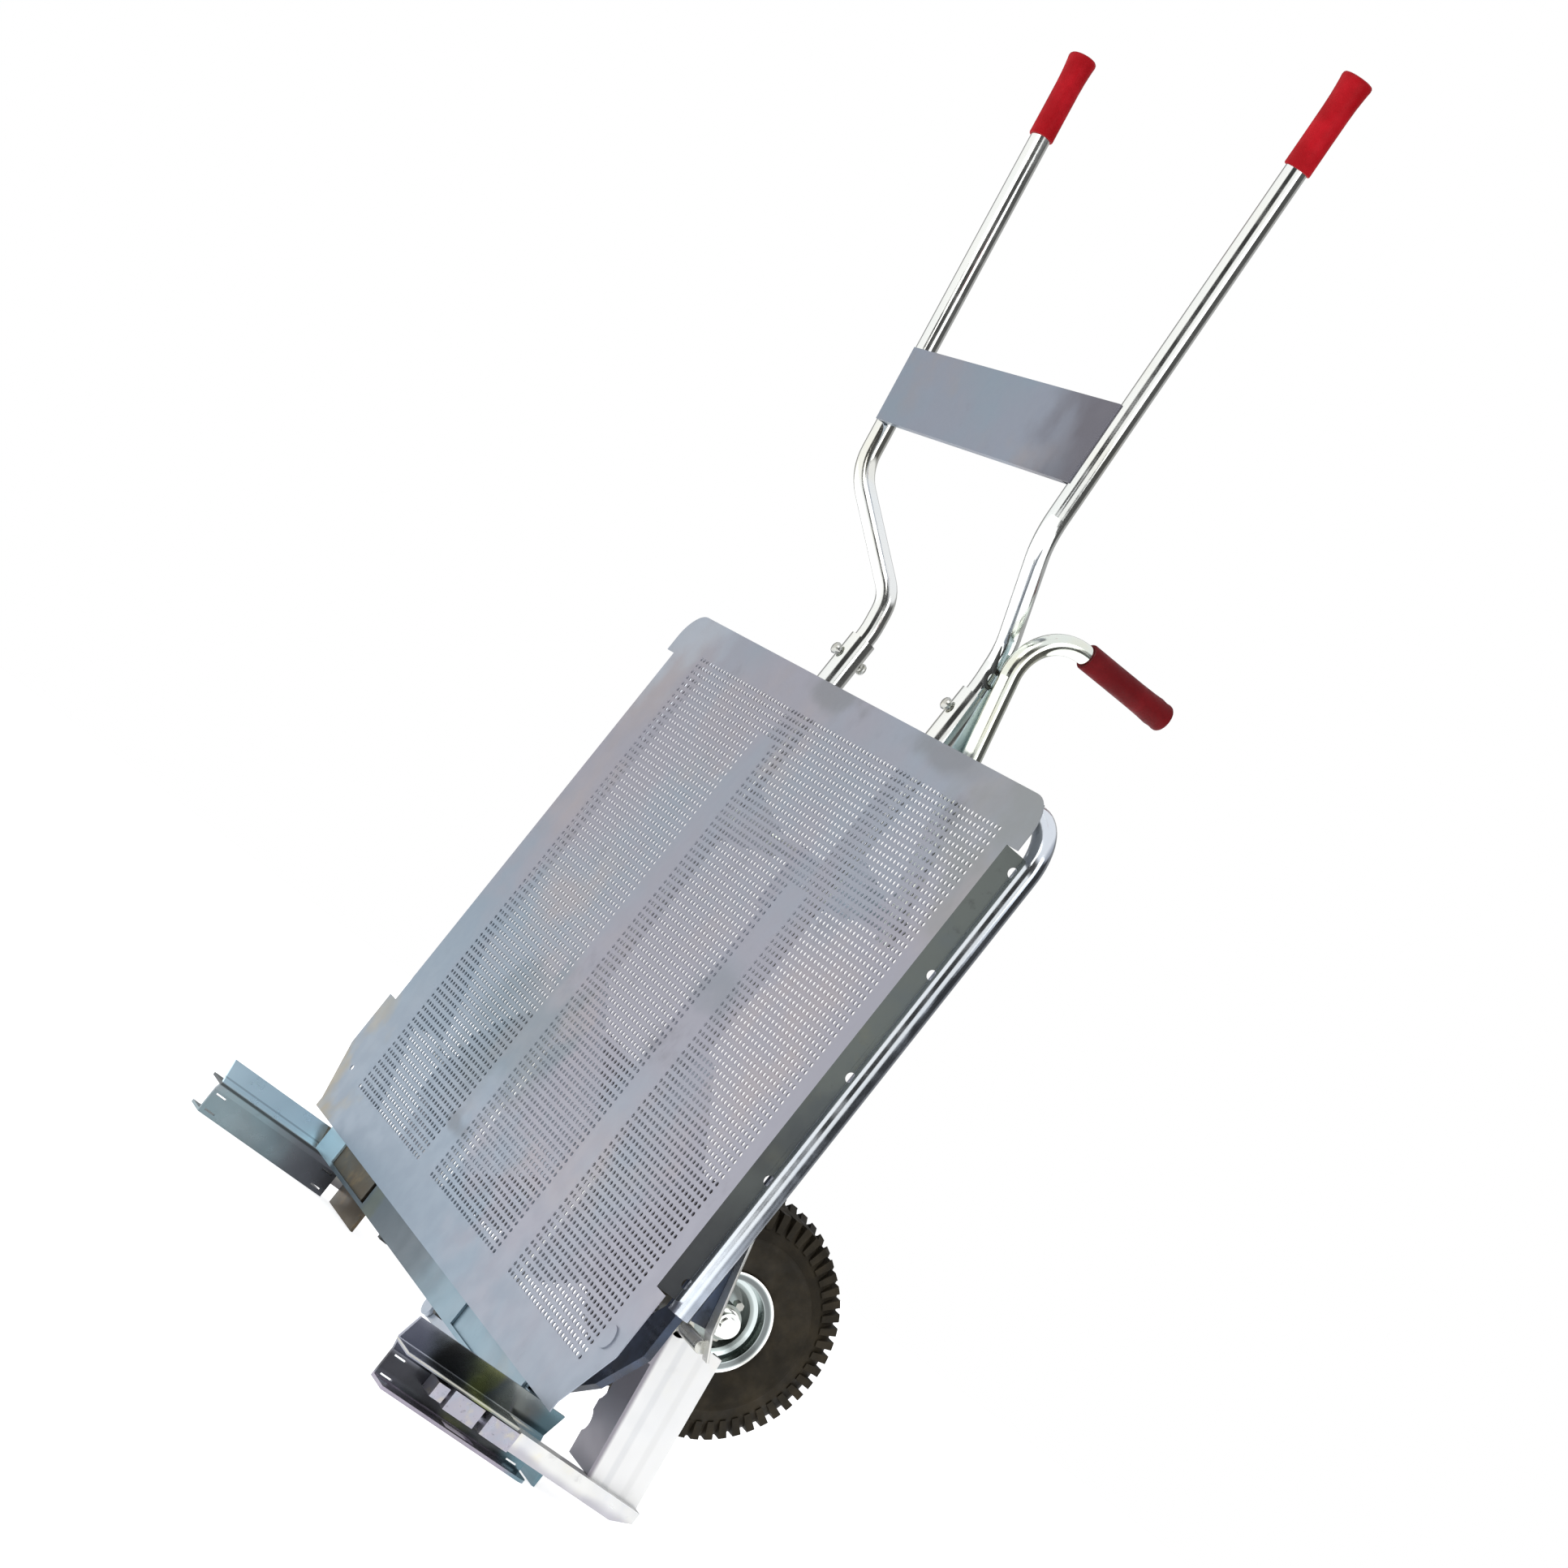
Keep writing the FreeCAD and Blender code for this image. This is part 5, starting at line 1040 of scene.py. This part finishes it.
def dressCatch():
    c = catchShape
    clearSelection()
    bpy.ops.mesh.primitive_torus_add(major_radius=c["ringRadius"], minor_radius=c["wire"],
                                     major_segments=36, minor_segments=12,
                                     location=(0, 0, 0), rotation=(0, math.pi / 2, 0))
    ring = bpy.context.object
    settle(ring)
    ring.scale = (1, 1, c["stretch"])
    settle(ring)
    ring.rotation_euler = (math.radians(24), 0, 0)
    settle(ring)
    ring.location = Vector((c["x"], *c["ring"])) + cartShift
    settle(ring)
    low, high = Vector((c["x"], *c["spikeLow"])), Vector((c["x"], *c["spikeHigh"]))
    clearSelection()
    bpy.ops.mesh.primitive_cone_add(vertices=16, radius1=c["spikeWide"], radius2=0.0010,
                                    depth=(high - low).length,
                                    location=(0, 0, (high - low).length / 2))
    spike = bpy.context.object
    settle(spike)
    spike.scale = (1, 0.55, 1)
    settle(spike)
    alignTo(spike, low + cartShift, high - low)
    catch = joinPieces("leverCatch", [ring, spike])
    smoothByAngle(catch, 40)
    finishPiece(catch, metalOf["blackSteel"], "tube", "frame")
    print("catch built")


dressCatch()


# the sliding sheet behind the right-hand window of the beam

tongueShape = {"low": Vector((0.160, 0.0050, 0.0545)), "high": Vector((0.2125, 0.0075, 0.0855))}


def dressTongue():
    tongue = boxBetween("armTongueRight", tongueShape["low"] + cartShift, tongueShape["high"] + cartShift)
    addModifier(tongue, "BEVEL", width=0.0006, segments=2, limit_method="ANGLE", angle_limit=math.radians(40))
    applyModifiers(tongue)
    finishPiece(tongue, metalOf["beamZinc"], "jaw", "jaw_right")
    print("tongue built")


dressTongue()


# tyres

tyreShape = {
    "tread": 0.1422,       # carcass under the lugs
    "bead": 0.0585,
    "steps": 96,
    "lugs": 51,
    # a lug's corners: outwards, along the axle, half width; face and root, at the crown and at the shoulder
    "crown": ((0.1478, 0.0070, 0.0050), (0.1360, 0.0070, 0.0058)),
    "shoulder": ((0.1410, 0.0395, 0.0050), (0.1160, 0.0412, 0.0038)),
    "crownTop": 0.1482, "crownFlat": 0.008, "crownFall": 228.5714, "crownLow": 0.1385, "face": 0.139,
}


def wheelCentre(side):
    low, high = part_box("tyre_" + side)
    return (low + high) / 2


def buildTyre():
    s = tyreShape
    section = [
        (-0.0300, s["bead"]), (-0.0335, 0.0620), (-0.0362, 0.0680), (-0.0392, 0.0780), (-0.0408, 0.0880),
        (-0.0413, 0.0950), (-0.0413, 0.0990), (-0.0419, 0.1000), (-0.0419, 0.1030), (-0.0411, 0.1040),
        (-0.0405, 0.1130), (-0.0388, 0.1175), (-0.0355, 0.1225), (-0.0328, 0.1300), (-0.0280, 0.1362),
        (-0.0180, 0.1405), (-0.0090, 0.1418), (0, s["tread"]),
    ]
    section = section + [(-x, r) for x, r in reversed(section[:-1])]
    inner = [(0.0250, s["bead"] - 0.0005), (0.0200, 0.0530), (0, 0.0520), (-0.0200, 0.0530),
             (-0.0250, s["bead"] - 0.0005)]
    carcass = turned("tyreRight", s["steps"], section + inner + section[:1])
    # one lug, drawn at the top of the wheel on its outer shoulder, then carried round
    clearSelection()
    lugs = []
    for flip in (1, -1):
        bpy.ops.mesh.primitive_cube_add(size=1, location=(0, 0, 0))
        lug = bpy.context.object
        openMesh(lug)
        # along Z is the wheel's axle here, X is outwards from it, Y runs round it
        cage = bmesh.from_edit_mesh(lug.data)
        for corner in cage.verts:
            face, root = s["shoulder"] if corner.co.z > 0 else s["crown"]
            x, z, half = face if corner.co.x > 0 else root
            corner.co = (x, math.copysign(half, corner.co.y), z)
        bmesh.update_edit_mesh(lug.data)
        closeMesh()
        lug.scale = (1, 1, flip)
        lug.rotation_euler = (0, 0, 0 if flip > 0 else math.pi / s["lugs"])
        settle(lug)
        tidyMesh(lug)
        openMesh(lug)
        bpy.ops.mesh.select_all(action="SELECT")
        bpy.ops.mesh.subdivide(number_cuts=2)
        # crown the lug's outer face like the tread
        cage = bmesh.from_edit_mesh(lug.data)
        for corner in cage.verts:
            out = math.hypot(corner.co.x, corner.co.y)
            if out > s["face"]:
                bulge = s["crownTop"] - s["crownFall"] * max(0.0, abs(corner.co.z) - s["crownFlat"]) ** 2
                factor = min(1.0, max(bulge, s["crownLow"]) / out) if out > bulge else 1.0
                corner.co.x *= factor
                corner.co.y *= factor
        bmesh.update_edit_mesh(lug.data)
        closeMesh()
        addModifier(lug, "BEVEL", width=0.0009, segments=1, limit_method="ANGLE",
                    angle_limit=math.radians(40))
        applyModifiers(lug)
        ring = [lug]
        for k in range(1, s["lugs"]):
            twin = copyPiece(lug, "lug")
            twin.rotation_euler = (0, 0, 2 * math.pi * k / s["lugs"])
            settle(twin)
            ring.append(twin)
        lugs += ring
    tyre = joinPieces("tyreRight", [carcass, *lugs])
    smoothByAngle(tyre, 38)
    return tyre


def dressWheels():
    tyre = buildTyre()
    for side, sign in (("left", -1), ("right", 1)):
        one = copyPiece(tyre, "tyre" + side.capitalize() + "Tread")
        alignTo(one, wheelCentre(side), (sign, 0, 0))
        finishPiece(one, tyreRubber, "tyre", "wheel_" + side, "tyre_" + side)
    bpy.data.objects.remove(tyre)
    print("tyres built")


dressWheels()


# hand grips

gripShape = {"long": 0.119, "radius": 0.0165, "end": 0.019, "bore": 0.0136, "steps": 40}
leverGripShape = {"long": 0.132, "radius": 0.0165, "end": 0.0175, "bore": 0.0126, "steps": 40}


def buildGrip(name, shape):
    length, r, end, bore = shape["long"], shape["radius"], shape["end"], shape["bore"]
    section = [(0.012, bore - 0.0004), (0.0006, bore), (0.0, bore + 0.0008), (0.0002, r - 0.0006),
               (0.0014, r)]
    section += [(length * 0.30, r - 0.0001), (length * 0.62, r), (length - 0.030, r + 0.0004),
                (length - 0.018, r + 0.0012),
                (length - 0.010, end - 0.0006), (length - 0.0055, end), (length - 0.0025, end - 0.0004),
                (length - 0.0008, end - 0.0017), (length, end - 0.0040), (length, 0.0060),
                (length - 0.0001, 0.00005)]
    return turned(name, shape["steps"], section)


# the tubes' ends in the cart's own measure, before the shift to its middle
handleLine = {
    "bend": (0.262, -0.063, 1.156), "top": (0.335, -0.148, 1.750),
    "leverCorner": (0.216, 0.016, 1.095), "leverEnd": (0.216, 0.225, 1.1055),
    "cap": 0.004,
}


def placedGrip(name, shape, bend, end):
    # a grip whose closed end reaches past a tube's end by the cap's thickness
    heading = (Vector(end) - Vector(bend)).normalized()
    grip = buildGrip(name, shape)
    smoothByAngle(grip, 50)
    alignTo(grip, Vector(end) + cartShift - heading * (shape["long"] - handleLine["cap"]), heading)
    return grip


def dressGrips():
    grip = placedGrip("handleGripRight", gripShape, handleLine["bend"], handleLine["top"])
    twin = mirrorPiece(grip, "handleGripLeft")
    finishPiece(grip, gripPlastic, "grip", "handles", "handle_grip_right")
    finishPiece(twin, gripPlastic, "grip", "handles", "handle_grip_left")
    lever = placedGrip("leverGripSleeve", leverGripShape, handleLine["leverCorner"], handleLine["leverEnd"])
    finishPiece(lever, leverPlastic, "lever_grip", "lever", "lever_grip")
    print("grips built")


dressGrips()
